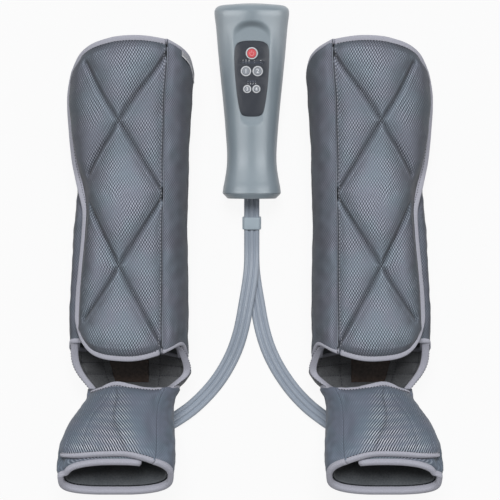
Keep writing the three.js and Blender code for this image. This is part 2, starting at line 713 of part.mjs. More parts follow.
function wrap(side, mirror) {
  const group = new THREE.Group();
  group.position.set(-mirror * wrap_place_x, calf_end_y, 0);
  group.scale.x = mirror;
  calfPieces(group, side);
  calfFlapPieces(group, side);
  const gusset_end = gusset_inset + gusset_thickness;
  const gusset_columns = [1, step_column(calf_counts)];
  const gusset = sheet(gussetPoint, gusset_columns, [0, gusset_rows], () => gusset_inset, () => gusset_end);
  add(group, `${side}_ankle_gusset`, gusset, lining_cloth);
  footPieces(group, side);
  footFlapPieces(group, side);
  return group;
}

// The barrel between two distances from its base, some depth below its skin
function barrel(depth, start = 0) {
  const profile = barrel_station_shares.map((share, k) => {
    const y = Math.max(Math.min(share * controller_length, controller_length - depth), start);
    return new THREE.Vector2(Math.max(controller_half_width * barrel_width_shares[k] - depth, 0), y);
  });
  profile.unshift(new THREE.Vector2(0, start));
  const geometry = new THREE.LatheGeometry(profile, barrel_sides);
  return solid(facingOut(geometry.scale(1, 1, barrel_depth_share)));
}

// Turns a solid made on the face, with +Z out of it, into the barrel's own directions
function fromFace(geometry) {
  return geometry.rotateX(Math.atan(face_slope)).translate(0, face_place_y, face_height);
}

function slotGeometry(margin, low, high) {
  const half_width = 3 * hose_radius + margin;
  const half_height = 2 * hose_radius + ribbon_gap / 2 + margin;
  const [bottom, top] = [outlet_height - half_height, outlet_height + half_height];
  return block([-half_width, low, bottom], [half_width, high, top]);
}

const face_outline = corners(face_outline_shares, face_half_width, face_half_length);
const panel_outline = corners(panel_outline_shares, panel_half_width, panel_half_length);

function shells(group) {
  const outer = barrel(0);
  const whole = outer.subtract(barrel(barrel_wall, -cut_overrun));
  const reach = controller_length;
  const half = (low, high) => solid(block([-reach, base_cap_depth, low], [reach, 2 * reach, high]));
  const screw_places = [lower_boss_y, upper_boss_y];

  // front shell, with the flat face, a seat for the panel, board posts and screw bosses
  const tray = solid(fromFace(plate(face_outline, -tray_wall, 0))).intersect(outer);
  let front = whole.intersect(half(clearance / 2, reach)).add(tray);
  front = front.subtract(solid(fromFace(plate(face_outline, 0, reach))));
  const seat_outline = growOutline(panel_outline, clearance);
  const seat_depth = panel_thickness - panel_stand + clearance;
  front = front.subtract(solid(fromFace(plate(seat_outline, -seat_depth, cut_overrun))));
  for (const button of buttons) {
    const hole = pin(stem_radius + clearance, button.across, button.up, -tray_wall - cut_overrun, 0);
    front = front.subtract(solid(fromFace(hole)));
  }
  const post_x = button_board_width / 2 - board_post_inset;
  const post_y = button_board_length / 2 - board_post_inset;
  for (const [x, y] of [[post_x, post_y], [-post_x, post_y], [post_x, -post_y], [-post_x, -post_y]]) {
    const middle_y = button_board_up + y;
    const post = pin(board_post_radius, x, middle_y, board_top + clearance, -tray_wall / 2, small_sides);
    front = front.add(solid(fromFace(post)));
  }
  for (const y of screw_places) {
    const boss = solid(pin(boss_radius, 0, y, boss_meeting + clearance, reach)).intersect(outer);
    front = front.add(boss.subtract(solid(fromFace(plate(face_outline, -tray_wall / 2, reach)))));
    const hole_end = screw_seat + screw_length + clearance;
    front = front.subtract(solid(pin(screw_radius + clearance, 0, y, -reach, hole_end, small_sides)));
  }
  add(group, 'front_shell', surface(front), housing_plastic);

  // rear shell, with ribs under the valves, posts under the main board and screw bosses
  let rear = whole.intersect(half(-reach, -clearance / 2));
  for (const y of [valve_block_start, valve_block_end - rib_thickness]) {
    const rib = block([-rib_width / 2, y, -reach], [rib_width / 2, y + rib_thickness, rib_height]);
    rear = rear.add(solid(rib).intersect(outer));
  }
  for (const [x, y] of mainPostPlaces()) {
    const post = pin(main_post_radius, x, y, -reach, main_board_height - clearance, small_sides);
    rear = rear.add(solid(post).intersect(outer));
  }
  for (const y of screw_places) {
    rear = rear.add(solid(pin(boss_radius, 0, y, -reach, boss_meeting)).intersect(outer));
    rear = rear.subtract(solid(pin(screw_head_radius + clearance, 0, y, -reach, screw_seat - clearance)));
    rear = rear.subtract(solid(pin(screw_radius + clearance, 0, y, -reach, reach, small_sides)));
  }
  add(group, 'rear_shell', surface(rear), housing_plastic);

  screw_places.forEach((y, k) => {
    const head_top = screw_seat - 2 * clearance;
    const head = pin(screw_head_radius, 0, y, head_top - screw_head_height, head_top);
    const shank_start = head_top - screw_head_height / 2;
    const shank = pin(screw_radius, 0, y, shank_start, screw_seat + screw_length, small_sides);
    add(group, `shell_screw_${k + 1}`, surface(solid(head).add(solid(shank))), screw_steel);
  });

  // base cap, with a spigot inside the shells, the hose outlet and the jack's hole
  const cap_end = base_cap_depth - clearance;
  const skin = outer.intersect(solid(block([-reach, 0, -reach], [reach, cap_end, reach])));
  const spigot_room = solid(block([-reach, 0, -reach], [reach, cap_end + base_cap_spigot, reach]));
  let cap = skin.add(barrel(barrel_wall + clearance).intersect(spigot_room));
  cap = cap.subtract(solid(slotGeometry(clearance, -cut_overrun, reach)));
  const jack_room = jack_radius + clearance;
  const jack_hole = new THREE.CylinderGeometry(jack_room, jack_room, reach, round_sides);
  cap = cap.subtract(solid(jack_hole.translate(0, 0, jack_height)));
  add(group, 'base_cap', surface(cap), housing_plastic);
}

// Moves each corner of an outline outwards, away from its middle
function growOutline(points, distance) {
  const count = points.length;
  return points.map((point, k) => {
    const before = points[(k + count - 1) % count];
    const after = points[(k + 1) % count];
    const along = after.clone().sub(before).normalize();
    const out = new THREE.Vector2(along.y, -along.x).multiplyScalar(distance);
    return point.clone().add(out);
  });
}

function mainPostPlaces() {
  const x = main_board_width / 2 - main_post_inset / 2;
  const low = main_board_start + main_post_inset;
  const high = main_board_end - main_post_inset;
  return [[x, high], [-x, high], [x, low], [-x, low]];
}

const button_low = panel_stand - button_skirt;
const stem_end = button_low - stem_length;
const switch_top = stem_end - button_travel - clearance;
const board_top = switch_top - switch_height;

function controls(group) {
  let panel = solid(plate(panel_outline, panel_stand - panel_thickness, panel_stand));
  for (const { across, up, radius } of buttons) {
    panel = panel.subtract(solid(pin(radius + clearance, across, up, -cut_overrun, cut_overrun)));
  }
  for (const { across, up, width } of status_windows) {
    const half = [width / 2 + clearance, status_window_height / 2 + clearance];
    const low = [across - half[0], up - half[1], -cut_overrun];
    const high = [across + half[0], up + half[1], cut_overrun];
    panel = panel.subtract(solid(block(low, high)));
  }
  add(group, 'control_panel', surface(panel), panel_film);

  for (const { name, across, up, radius } of buttons) {
    const top = panel_stand + button_crown;
    const profile = [
      [0, stem_end], [stem_radius, stem_end], [stem_radius, button_low], [radius, button_low],
      [radius, top - button_crown / 2], [radius - button_crown / 2, top], [0, top],
    ];
    const cap = new THREE.LatheGeometry(profile.map(([x, y]) => new THREE.Vector2(x, y)), round_sides);
    cap.rotateX(Math.PI / 2).translate(across, up, 0);
    const plastic = name === 'power_button' ? power_plastic : button_plastic;
    add(group, name, surface(solid(facingOut(cap))), plastic);
  }
  for (const { name, across, up, width } of status_windows) {
    const low = [across - width / 2, up - status_window_height / 2, panel_stand - panel_thickness];
    const high = [across + width / 2, up + status_window_height / 2, panel_stand];
    add(group, name, block(low, high), window_plastic);
  }

  const half_width = button_board_width / 2;
  const half_length = button_board_length / 2;
  const laminate = block(
    [-half_width, button_board_up - half_length, board_top - board_thickness],
    [half_width, button_board_up + half_length, board_top],
  );
  let board = solid(laminate);
  for (const { across, up } of buttons) {
    const half = switch_size / 2;
    const low = [across - half, up - half, board_top - board_thickness / 2];
    board = board.add(solid(block(low, [across + half, up + half, switch_top])));
  }
  add(group, 'button_board', surface(board), board_laminate);
}

function insides(group) {
  const half_board = main_board_width / 2;
  const main_board = block(
    [-half_board, main_board_start, main_board_height],
    [half_board, main_board_end, main_board_height + board_thickness],
  );
  add(group, 'main_board', main_board, board_laminate);

  const valve_low = rib_height + clearance;
  const valve_block = block(
    [-valve_block_width / 2, valve_block_start, valve_low],
    [valve_block_width / 2, valve_block_end, valve_low + valve_block_height],
  );
  add(group, 'valve_block', valve_block, inner_plastic);
  for (const [side, turn] of [['left', -1], ['right', 1]]) {
    const x = turn * valve_spacing / 2;
    const valve = new THREE.CylinderGeometry(valve_radius, valve_radius, valve_length, round_sides);
    valve.translate(x, valve_end - valve_length / 2, valve_low + valve_block_height / 2);
    add(group, `${side}_solenoid_valve`, valve, motor_steel);
  }

  const motor = new THREE.CylinderGeometry(motor_radius, motor_radius, motor_length, round_sides);
  motor.translate(0, motor_start + motor_length / 2, motor_height);
  add(group, 'pump_motor', motor, motor_steel);
  const head = block(
    [-pump_head_width / 2, pump_head_start, motor_height - pump_head_height / 2],
    [pump_head_width / 2, pump_head_end, motor_height + pump_head_height / 2],
  );
  add(group, 'pump_head', head, inner_plastic);

  const air_block = block(
    [-air_block_width / 2, air_block_start, air_block_height - air_block_rise / 2],
    [air_block_width / 2, air_block_end, air_block_height + air_block_rise / 2],
  );
  add(group, 'air_outlet_block', air_block, inner_plastic);

  const jack_body = new THREE.CylinderGeometry(jack_radius, jack_radius, jack_length, round_sides);
  const jack_room = new THREE.CylinderGeometry(jack_bore, jack_bore, jack_length, round_sides);
  jack_room.translate(0, -jack_radius / 2, 0);
  const jack = surface(solid(jack_body).subtract(solid(jack_room)));
  add(group, 'power_jack', jack.translate(0, jack_length / 2, jack_height), inner_plastic);
}

function controller() {
  const group = new THREE.Group();
  const face = new THREE.Group();
  face.position.set(0, face_place_y, face_height);
  face.rotation.x = Math.atan(face_slope);
  group.add(face);
  shells(group);
  controls(face);
  insides(group);

  // it rests on the rear of its crown and of its base, so its axis rises towards the crown
  const widest = barrel_width_shares.indexOf(Math.max(...barrel_width_shares));
  const flare = 1;
  const drop_share = barrel_width_shares[widest] - barrel_width_shares[flare];
  const drop = controller_half_width * barrel_depth_share * drop_share;
  const run = controller_length * (barrel_station_shares[widest] - barrel_station_shares[flare]);
  group.rotation.x = Math.atan(drop / run);
  group.position.set(controller_place_x, controller_end_y, 0);
  group.updateMatrixWorld(true);
  const lowest = new THREE.Box3().setFromObject(group, true).min.z;
  group.position.z = -lowest;
  return group;
}

// A flat ribbon of three fused tubes that keeps level all along its route
function ribbon(points) {
  const route = new THREE.CatmullRomCurve3(points.map((p) => new THREE.Vector3(...p)), false, 'centripetal');
  route.computeFrenetFrames = (segments) => {
    const frames = { tangents: [], normals: [], binormals: [] };
    for (let k = 0; k <= segments; k += 1) {
      const tangent = route.getTangentAt(k / segments);
      const across = new THREE.Vector3(0, 0, 1).cross(tangent).normalize();
      frames.tangents.push(tangent);
      frames.normals.push(across);
      frames.binormals.push(tangent.clone().cross(across));
    }
    return frames;
  };
  const half = corners(ribbon_half_outline_shares, hose_radius, hose_radius);
  const outline = [...half, ...half.map((corner) => corner.clone().negate())];
  const options = { steps: ribbon_steps, extrudePath: route, bevelEnabled: false };
  return facingOut(welded(new THREE.ExtrudeGeometry(new THREE.Shape(outline), options)));
}

function hoses() {
  const group = new THREE.Group();
  add(group, 'left_hose_ribbon', ribbon(left_route), hose_vinyl);
  add(group, 'right_hose_ribbon', ribbon(right_route), hose_vinyl);

  const half_width = 3 * hose_radius + clearance;
  const half_height = 2 * hose_radius + ribbon_gap / 2 + 2 * clearance;
  const sleeve = (margin, reach) => block(
    [-half_width - margin, -clip_length / 2 - reach, -half_height - margin],
    [half_width + margin, clip_length / 2 + reach, half_height + margin],
  );
  const clip = surface(solid(sleeve(clip_wall, 0)).subtract(solid(sleeve(0, cut_overrun))));
  clip.rotateX(clip_tilt).translate(controller_place_x, clip_place_y, clip_height);
  add(group, 'hose_clip', clip, housing_plastic);
  return group;
}

const massager = new THREE.Group();
massager.add(wrap('left', 1), wrap('right', -1), controller(), hoses());

export default massager;
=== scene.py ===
# Looks of the air compression foot massager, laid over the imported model.
# Tables and routes are in millimetres, as in the part's source; every mesh is made in metres.
import math
import bpy
import bmesh
import numpy as np
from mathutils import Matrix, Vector


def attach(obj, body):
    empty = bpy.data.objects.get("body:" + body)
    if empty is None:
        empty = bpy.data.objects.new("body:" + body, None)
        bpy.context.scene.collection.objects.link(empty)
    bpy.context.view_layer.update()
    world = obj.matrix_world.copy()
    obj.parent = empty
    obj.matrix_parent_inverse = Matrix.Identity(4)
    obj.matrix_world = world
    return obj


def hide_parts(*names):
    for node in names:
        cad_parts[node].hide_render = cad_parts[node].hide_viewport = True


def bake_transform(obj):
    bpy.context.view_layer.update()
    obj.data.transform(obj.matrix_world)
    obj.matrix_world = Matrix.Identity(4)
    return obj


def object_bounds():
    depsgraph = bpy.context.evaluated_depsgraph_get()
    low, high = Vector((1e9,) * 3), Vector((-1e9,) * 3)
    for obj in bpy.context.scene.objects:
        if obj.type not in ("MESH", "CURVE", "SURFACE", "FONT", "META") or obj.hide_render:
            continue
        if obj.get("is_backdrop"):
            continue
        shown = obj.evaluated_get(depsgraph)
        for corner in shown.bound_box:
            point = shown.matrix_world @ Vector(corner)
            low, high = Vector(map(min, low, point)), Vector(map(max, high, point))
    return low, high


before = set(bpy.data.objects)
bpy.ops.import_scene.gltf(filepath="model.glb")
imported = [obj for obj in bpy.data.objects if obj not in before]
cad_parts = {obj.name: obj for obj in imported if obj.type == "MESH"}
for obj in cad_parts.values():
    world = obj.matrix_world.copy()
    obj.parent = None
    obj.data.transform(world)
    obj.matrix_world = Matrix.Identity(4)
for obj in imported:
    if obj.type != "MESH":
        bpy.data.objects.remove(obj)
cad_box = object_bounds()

MM = 0.001
SIDES = {"left": -1, "right": 1}
scene = bpy.context.scene

# Places and sizes of a wrap that the part's source gives
WRAP_X = 120.5
WRAP_Y = -105
CALF_LENGTH = 306
CALF_HALF_WIDTH = 62.5
CALF_HALF_HEIGHT = 45
SECTION_POWER = 2.3
FLAT_ANGLE = 81
CALF_STATIONS = [0, 0.17, 0.27, 0.4, 0.53, 0.63, 0.73, 0.83, 0.93, 1.04]
CALF_WIDTHS = [0.95, 0.94, 0.93, 0.9, 0.89, 0.94, 0.98, 1, 0.98, 0.95]
CALF_SHIFTS = [-0.02, -0.014, -0.008, 0.013, 0.04, -0.003, -0.014, -0.016, 0.04, 0.06]
SEAM_ANGLE = 56
SEAM_GAP = 0.8
QUILT_END_ANGLE = 136
QUILT_CHANNELS = [(0.025, 0.479), (0.51, 0.113), (0.523, 0.94), (0.975, 0.58)]
ROLL_RADIUS = 57
FLAP_THICKNESS = 8
TONGUE_DEPTH = 12
TONGUE_END_ANGLE = 125
FOOT_GAP = 40.5
FOOT_RUN = 101
FOOT_RISE = 114
FOOT_LENGTH = 105
FOOT_HALF_WIDTH = 58.5
FOOT_STATIONS = [0, 0.15, 0.3, 0.5, 0.75, 1]
SOLE_RUNS = [0, 0.1, 0.21, 0.465, 0.733, 1]
SOLE_RISES = [0, 0, 0.018, 0.22, 0.454, 0.684]
INSTEP_RUNS = [-0.069, 0.01, 0.1, 0.233, 0.416, 0.604]
INSTEP_RISES = [0.614, 0.667, 0.724, 0.807, 0.904, 1]
FOOT_WIDTHS = [0.8, 0.76, 0.8, 0.92, 0.99, 0.98]
FOOT_SHIFTS = [0.06, 0.017, -0.06, -0.16, -0.205, -0.214]
FOOT_SEAM_ANGLE = 48
FOOT_EDGE_ANGLE = 170
FOOT_TONGUE_ANGLE = 62
FOOT_TONGUE_DEPTH = 6.8
FOOT_FLAP_THICKNESS = 5

# Fitted to the photograph: ends and edges of the sewn sheets, by angle round the roll or share of length
COVER_ANGLES = [-235, -194, -176, -90, 0, 25, 56]
COVER_BOTTOMS = [0.03, 0.033, 0.006, 0, -0.018, 0.024, 0]
COVER_TOPS = [0.9, 0.884, 0.884, 0.955, 0.919, 0.975, 1.018]
EDGE_STATIONS = [0, 0.17, 0.27, 0.4, 0.47, 0.53, 0.6, 0.73, 0.9, 1.05]
EDGE_ANGLES = [156, 156, 152, 150.5, 154, 170, 183, 186, 186, 186]
FLAP_ANGLES = [56, 84, 103, 118, 130, 142, 150, 156, 172, 186]
FLAP_BOTTOMS = [-0.003, -0.023, -0.021, -0.012, 0.005, 0.035, 0.067, 0.1, 0.13, 0.16]
FLAP_TOPS = [1.018, 1.029, 1.026, 1.016, 1.006, 0.992, 0.98, 0.966, 0.919, 0.854]
FLAP_EDGE_ENDS = (156, 186)
FOOT_FLAP_ANGLES = [48, 66, 84, 94, 130, 170]
FOOT_FLAP_TOES = [0.985, 0.968, 0.945, 0.948, 0.93, 0.83]
FOOT_FLAP_ANKLES = [0.06, 0.055, 0.051, 0.05, 0.055, 0.1]
FOOT_SEAM_GAP = 0.45
ANKLE_REACH = 0.035
SOLE_CORNER_POWERS = (1.6, 0.7)

# Controller, in its own directions: +Y from its base to its crown, +Z out of its front
BARREL_LENGTH = 197
BARREL_HALF_WIDTH = 37.7
BARREL_DEPTH_SHARE = 0.86
BARREL_WALL = 2.5
BARREL_STATIONS = [
    0, 0.028, 0.062, 0.092, 0.16, 0.226, 0.329, 0.468, 0.604, 0.741, 0.878, 0.947, 0.966, 0.984, 0.994, 1,
]
BARREL_WIDTHS = [
    0.658, 0.782, 0.76, 0.728, 0.675, 0.663, 0.695, 0.756, 0.828, 0.897, 0.958, 1, 0.99, 0.9, 0.55, 0,
]
CAP_DEPTH = 5.6
FACE_Y = 120.8
FACE_Z = 23.3
FACE_SLOPE = 0.0476
FACE_OUTLINE = [
    (-11.5, -41), (-8, -43.5), (8, -43.5), (11.5, -41), (19.2, 39), (16.5, 46),
    (9.5, 52), (0, 54), (-9.5, 52), (-16.5, 46), (-19.2, 39),
]
PANEL_OUTLINE = [
    (-8, -37.2), (0, -38), (8, -37.2), (11.2, -34), (16.5, 31.5),
    (12.5, 36), (0, 37.6), (-12.5, 36), (-16.5, 31.5), (-11.2, -34),
]
PANEL_STAND = 0.5
BUTTONS = {
    "power_button": (0, 25.2, 6.1),
    "calf_mode_button": (-5.9, 7.3, 5.2),
    "foot_mode_button": (5.9, 7.3, 5.2),
    "intensity_button": (-4.6, -10.6, 4.1),
    "heat_button": (4.6, -10.6, 4.1),
}

# Hoses, in the row frame: three fused tubes to a ribbon, and the sleeve that holds both ribbons
HOSE_RADIUS = 2.6
CREVICE_SHARE = 0.36
CLIP_ROOM_ACROSS = 1.05
CLIP_ROOM_OVER = 1.65
CLIP_CORNER_POWER = 2 / 0.45
CLIP_WALL = 1.5
CLIP_WIDTH = 12.5
CLIP_TILT = 0.1
CLIP_PLACE = (1.8, 25, 9.9)
LEFT_ROUTE = [
    (1.8, 58.9, 18.85), (1.8, 50, 18.5), (1.8, 44, 17.7), (1.8, 37.5, 15.6), (1.8, 31, 13.7),
    (1.8, 25, 12.9), (1.8, 19, 12.3), (1.8, 8, 10.3), (1.8, -2, 9.0), (1.7, -14, 8.5), (1, -25, 8.5),
    (-1.3, -42, 8.5), (-3.9, -57, 8.5), (-6.5, -72, 8.1), (-10, -87.5, 6.6), (-15, -103, 4.7),
    (-22.2, -118.5, 3.3), (-31.7, -134, 2.9), (-44, -149, 3.2), (-59, -163.2, 4.2), (-71, -171.8, 5.8),
    (-80, -177.3, 7.4), (-87, -181.1, 8.5), (-93.8, -181.5, 8.6),
]
RIGHT_ROUTE = [
    (1.8, 58.9, 13.05), (1.8, 50, 12.7), (1.8, 44, 11.9), (1.8, 37.5, 9.8), (1.8, 31, 7.9),
    (1.8, 25, 7.1), (1.8, 19, 6.5), (1.8, 8, 4.5), (1.8, -2, 3.2), (1.9, -14, 2.7), (2.6, -25, 2.7),
    (4.9, -42, 2.7), (7.5, -57, 2.7), (10.1, -72, 2.7), (13.6, -87.5, 2.7), (18.6, -103, 2.7),
    (25.8, -118.5, 2.7), (35.3, -134, 2.9), (46, -148, 3.2), (59.5, -161.8, 4.2), (71, -170.9, 5.8),
    (80, -177.2, 7.4), (87, -181.1, 8.5), (93.8, -181.5, 8.6),
]


def smooth(keys, values, place):
    """A smooth line through a table, as the part's source draws it."""
    keys, values, place = (np.asarray(x, float) for x in (keys, values, place))
    last = len(keys) - 1
    k = np.clip(np.searchsorted(keys, place, side="right") - 1, 0, last - 1)
    before = np.maximum(np.arange(last + 1) - 1, 0)
    after = np.minimum(np.arange(last + 1) + 1, last)
    slopes = (values[after] - values[before]) / (keys[after] - keys[before])
    span = keys[k + 1] - keys[k]
    t = np.clip((place - keys[k]) / span, 0, 1)
    bend = t * (1 - t) ** 2 * span * slopes[k] + t * t * (t - 1) * span * slopes[k + 1]
    return values[k] + (values[k + 1] - values[k]) * t * t * (3 - 2 * t) + bend


def ease(t):
    """A share from 0 to 1 that starts and ends gently."""
    t = np.clip(t, 0, 1)
    return t * t * (3 - 2 * t)


def between(first, last, share):
    return first + (last - first) * share


def hump(distance, width):
    """A round rise of height one over the place where the distance is nought."""
    return np.exp(-((distance / width) ** 2))


def rounded(value, power=SECTION_POWER):
    """A sine or a cosine drawn out, so that an oval gets squarer corners."""
    return np.sign(value) * np.abs(value) ** (2 / power)


FLAT_SHARE = float(rounded(np.sin(np.radians(FLAT_ANGLE))))


def calf_point(angle, y, depth):
    """Points of the rolled calf part: an angle round it, a place along it and a depth in its wall."""
    turn = np.radians(angle)
    station = y / CALF_LENGTH
    half_width = CALF_HALF_WIDTH * smooth(CALF_STATIONS, CALF_WIDTHS, station)
    middle = CALF_HALF_WIDTH * smooth(CALF_STATIONS, CALF_SHIFTS, station)
    x = middle + (half_width - depth) * rounded(np.cos(turn))
    z = CALF_HALF_HEIGHT * FLAT_SHARE + (CALF_HALF_HEIGHT - depth) * rounded(np.sin(turn))
    z = np.maximum(z, np.maximum(depth, 0) * FLAT_SHARE)
    return np.stack(np.broadcast_arrays(x, y, z), -1)


def foot_point(angle, share, depth):
    """Points of the foot part, whose slices stand square to its sole and lean back to the toes."""
    turn = np.radians(angle)
    sole_y = -FOOT_GAP - FOOT_RUN * smooth(FOOT_STATIONS, SOLE_RUNS, share)
    sole_z = FOOT_RISE * np.maximum(smooth(FOOT_STATIONS, SOLE_RISES, share), 0)
    instep_y = -FOOT_GAP - FOOT_RUN * smooth(FOOT_STATIONS, INSTEP_RUNS, share)
    instep_z = FOOT_RISE * smooth(FOOT_STATIONS, INSTEP_RISES, share)
    height = np.hypot(instep_y - sole_y, instep_z - sole_z)
    half_height = height / (1 + FLAT_SHARE)
    squarer = np.where(np.cos(turn) < 0, *SOLE_CORNER_POWERS) * np.abs(np.cos(turn)) ** 0.5
    power = SECTION_POWER + squarer * ease((share - 0.5) / 0.5) * ease(-np.sin(turn) / 0.25)
    lift = half_height * FLAT_SHARE + (half_height - depth) * rounded(np.sin(turn), power)
    lift = np.maximum(lift, np.maximum(depth, 0) * FLAT_SHARE)
    half_width = FOOT_HALF_WIDTH * smooth(FOOT_STATIONS, FOOT_WIDTHS, share) - depth
    middle = FOOT_HALF_WIDTH * smooth(FOOT_STATIONS, FOOT_SHIFTS, share)
    x = middle + half_width * rounded(np.cos(turn), power)
    y = sole_y + (instep_y - sole_y) / height * lift
    z = sole_z + (instep_z - sole_z) / height * lift
    y = y - FOOT_LENGTH * np.minimum(share, 0)
    return np.stack(np.broadcast_arrays(x, y, z), -1)


def in_row(points, side):
    """Moves a wrap's own millimetres to the row frame, in metres, on its side of the controller."""
    sign = SIDES[side]
    row = np.array(points, float)
    row[..., 0] = sign * (WRAP_X - row[..., 0])
    row[..., 1] += WRAP_Y
    return row * MM


def unit_runs(line):
    """The direction of a line at each of its points."""
    run = np.gradient(line, axis=0)
    return run / np.linalg.norm(run, axis=1)[:, None]


def closed_runs(outline):
    """The direction of a closed outline at each of its points."""
    run = np.roll(outline, -1, 0) - np.roll(outline, 1, 0)
    return run / np.linalg.norm(run, axis=1)[:, None]


def rightwards(run):
    """Flat directions turned a quarter to the right, which is outwards on an outline."""
    return np.stack([run[:, 1], -run[:, 0]], -1)


def leaned(points, angle, at):
    """Points turned about the X axis by an angle, then moved to a place."""
    p = np.asarray(points, float)
    c, s = math.cos(angle), math.sin(angle)
    x, y, z = p[..., 0], p[..., 1], p[..., 2]
    return np.stack([at[0] + x, at[1] + y * c - z * s, at[2] + y * s + z * c], -1)


def ripples(u, v, seed, wavelength, waves=14):
    """Gentle uneven rises of about plus or minus one over a surface, the same on every run."""
    random = np.random.default_rng(seed)
    total = np.zeros(np.broadcast(u, v).shape)
    for _ in range(waves):
        turn = random.uniform(0, math.tau)
        pitch = wavelength * random.uniform(0.6, 1.7)
        phase = random.uniform(0, math.tau)
        total += np.sin(math.tau * (u * math.cos(turn) + v * math.sin(turn)) / pitch + phase)
    return total / math.sqrt(waves)


def add_object(name, data):
    """Puts a new object into the scene, with its place in its mesh."""
    made = bpy.data.objects.new(name, data)
    scene.collection.objects.link(made)
    return made


def finished_mesh(holder):
    """A plain mesh of what an object's modifiers or its text make."""
    bpy.context.view_layer.update()
    return bpy.data.meshes.new_from_object(holder.evaluated_get(bpy.context.evaluated_depsgraph_get()))


def mesh_piece(name, points, faces, corner_uv=None, smooth_faces=True):
    """A piece from points and faces, turned outwards if its volume comes out negative."""
    points = np.asarray(points, float).reshape(-1, 3)
    volume = 0.0
    quads = np.array([f for f in faces if len(f) == 4])
    for corner in (1, 2):
        a, b, c = points[quads[:, 0]], points[quads[:, corner]], points[quads[:, corner + 1]]
        volume += float(np.sum(a * np.cross(b, c)))
    if volume < 0:
        faces = [list(f)[::-1] for f in faces]
        corner_uv = None if corner_uv is None else [uv[::-1] for uv in corner_uv]
    mesh = bpy.data.meshes.new(name)
    mesh.from_pydata(points.tolist(), [], [[int(k) for k in f] for f in faces])
    if corner_uv is not None:
        cloth_map = mesh.uv_layers.new(name="cloth")
        cloth_map.data.foreach_set("uv", np.concatenate([np.asarray(uv, float) for uv in corner_uv]).ravel())
    mesh.polygons.foreach_set("use_smooth", [smooth_faces] * len(mesh.polygons))
    return add_object(name, mesh)


def run_lengths(grid, axis):
    steps = np.linalg.norm(np.diff(grid, axis=axis), axis=-1)
    mean = steps.mean(axis=1 - axis)
    return np.concatenate([[0], np.cumsum(mean)])


def side_distances(grid):
    """Distances along a sheet from each point of its grid to its first and last column and row."""
    rows = np.linalg.norm(np.diff(grid, axis=1), axis=-1)
    columns = np.linalg.norm(np.diff(grid, axis=0), axis=-1)
    across = np.pad(np.cumsum(rows, 1), ((0, 0), (1, 0)))
    along = np.pad(np.cumsum(columns, 0), ((1, 0), (0, 0)))
    return [across, across[:, -1:] - across, along, along[-1:] - along]


def closed_sheet(name, skin, back):
    """A closed sheet between two grids of points, with its pattern laid by lengths along the skin."""
    rows, columns = skin.shape[:2]
    across, _, along, _ = side_distances(skin)
    along += skin[0, :, 1] * np.sign(np.mean(skin[-1, :, 1] - skin[0, :, 1]))
    uv = np.stack([across, along], -1).reshape(-1, 2)
    uv = np.concatenate([uv, uv])
    points = np.concatenate([skin.reshape(-1, 3), back.reshape(-1, 3)])
    at = np.arange(rows * columns).reshape(rows, columns)
    low = at + rows * columns
    quads = [
        np.stack([at[:-1, :-1], at[:-1, 1:], at[1:, 1:], at[1:, :-1]], -1).reshape(-1, 4),
        np.stack([low[:-1, :-1], low[1:, :-1], low[1:, 1:], low[:-1, 1:]], -1).reshape(-1, 4),
    ]
    for a, b in ((at[0], low[0]), (low[-1], at[-1]), (low[:, 0], at[:, 0]), (at[:, -1], low[:, -1])):
        quads.append(np.stack([a[:-1], b[:-1], b[1:], a[1:]], -1))
    faces = np.concatenate(quads)
    return mesh_piece(name, points, faces, uv[faces])


def swept_tape(name, rings, closed=False):
    """A closed tape or tube through rings of points, with its pattern laid along it and round it."""
    count, sides = rings.shape[:2]
    along = run_lengths(rings, 0)
    around = run_lengths(np.concatenate([rings, rings[:, :1]], 1), 1)
    if closed:
        along = np.append(along, along[-1] + np.linalg.norm(rings[0] - rings[-1], axis=-1).mean())
    faces, uvs = [], []
    for i in range(count if closed else count - 1):
        for k in range(sides):
            n, m = (i + 1) % count, (k + 1) % sides
            faces.append((i * sides + k, n * sides + k, n * sides + m, i * sides + m))
            u0, u1, v0, v1 = along[i], along[i + 1], around[k], around[k + 1]
            uvs.append([(u0, v0), (u1, v0), (u1, v1), (u0, v1)])
    if not closed:
        for start, flip in ((0, 1), ((count - 1) * sides, -1)):
            faces.append(tuple(range(start, start + sides))[::flip])
            uvs.append([(along[0 if start == 0 else -1], around[k]) for k in range(sides)][::flip])
    return mesh_piece(name, rings.reshape(-1, 3), faces, uvs)


def smooth_route(points, closed=False, step=2.0):
    """A curve through points, smooth as a bent hose, in equal steps of about the given length."""
    p = np.asarray(points, float)
    if closed:
        p = np.concatenate([p[-1:], p, p[:2]])
    else:
        p = np.concatenate([2 * p[:1] - p[1:2], p, 2 * p[-1:] - p[-2:-1]])
    dense = []
    for k in range(1, len(p) - 2):
        p0, p1, p2, p3 = p[k - 1 : k + 3]
        d01, d12, d23 = (max(np.linalg.norm(b - a), 1e-6) ** 0.5 for a, b in ((p0, p1), (p1, p2), (p2, p3)))
        m1 = (p2 - p1) + d12 * ((p1 - p0) / d01 - (p2 - p0) / (d01 + d12))
        m2 = (p2 - p1) + d12 * ((p3 - p2) / d23 - (p3 - p1) / (d12 + d23))
        t = np.linspace(0, 1, 24, endpoint=False)[:, None]
        dense.append(
            p1 * (2 * t**3 - 3 * t**2 + 1) + p2 * (3 * t**2 - 2 * t**3)
            + m1 * (t**3 - 2 * t**2 + t) + m2 * (t**3 - t**2)
        )
    dense = np.concatenate(dense + [p[-2:-1]])
    length = np.concatenate([[0], np.cumsum(np.linalg.norm(np.diff(dense, axis=0), axis=1))])
    count = max(int(round(length[-1] / step)), 8)
    places = np.linspace(0, length[-1], count + 1)
    even = np.stack([np.interp(places, length, dense[:, k]) for k in range(dense.shape[1])], -1)
    return even[:-1] if closed else even


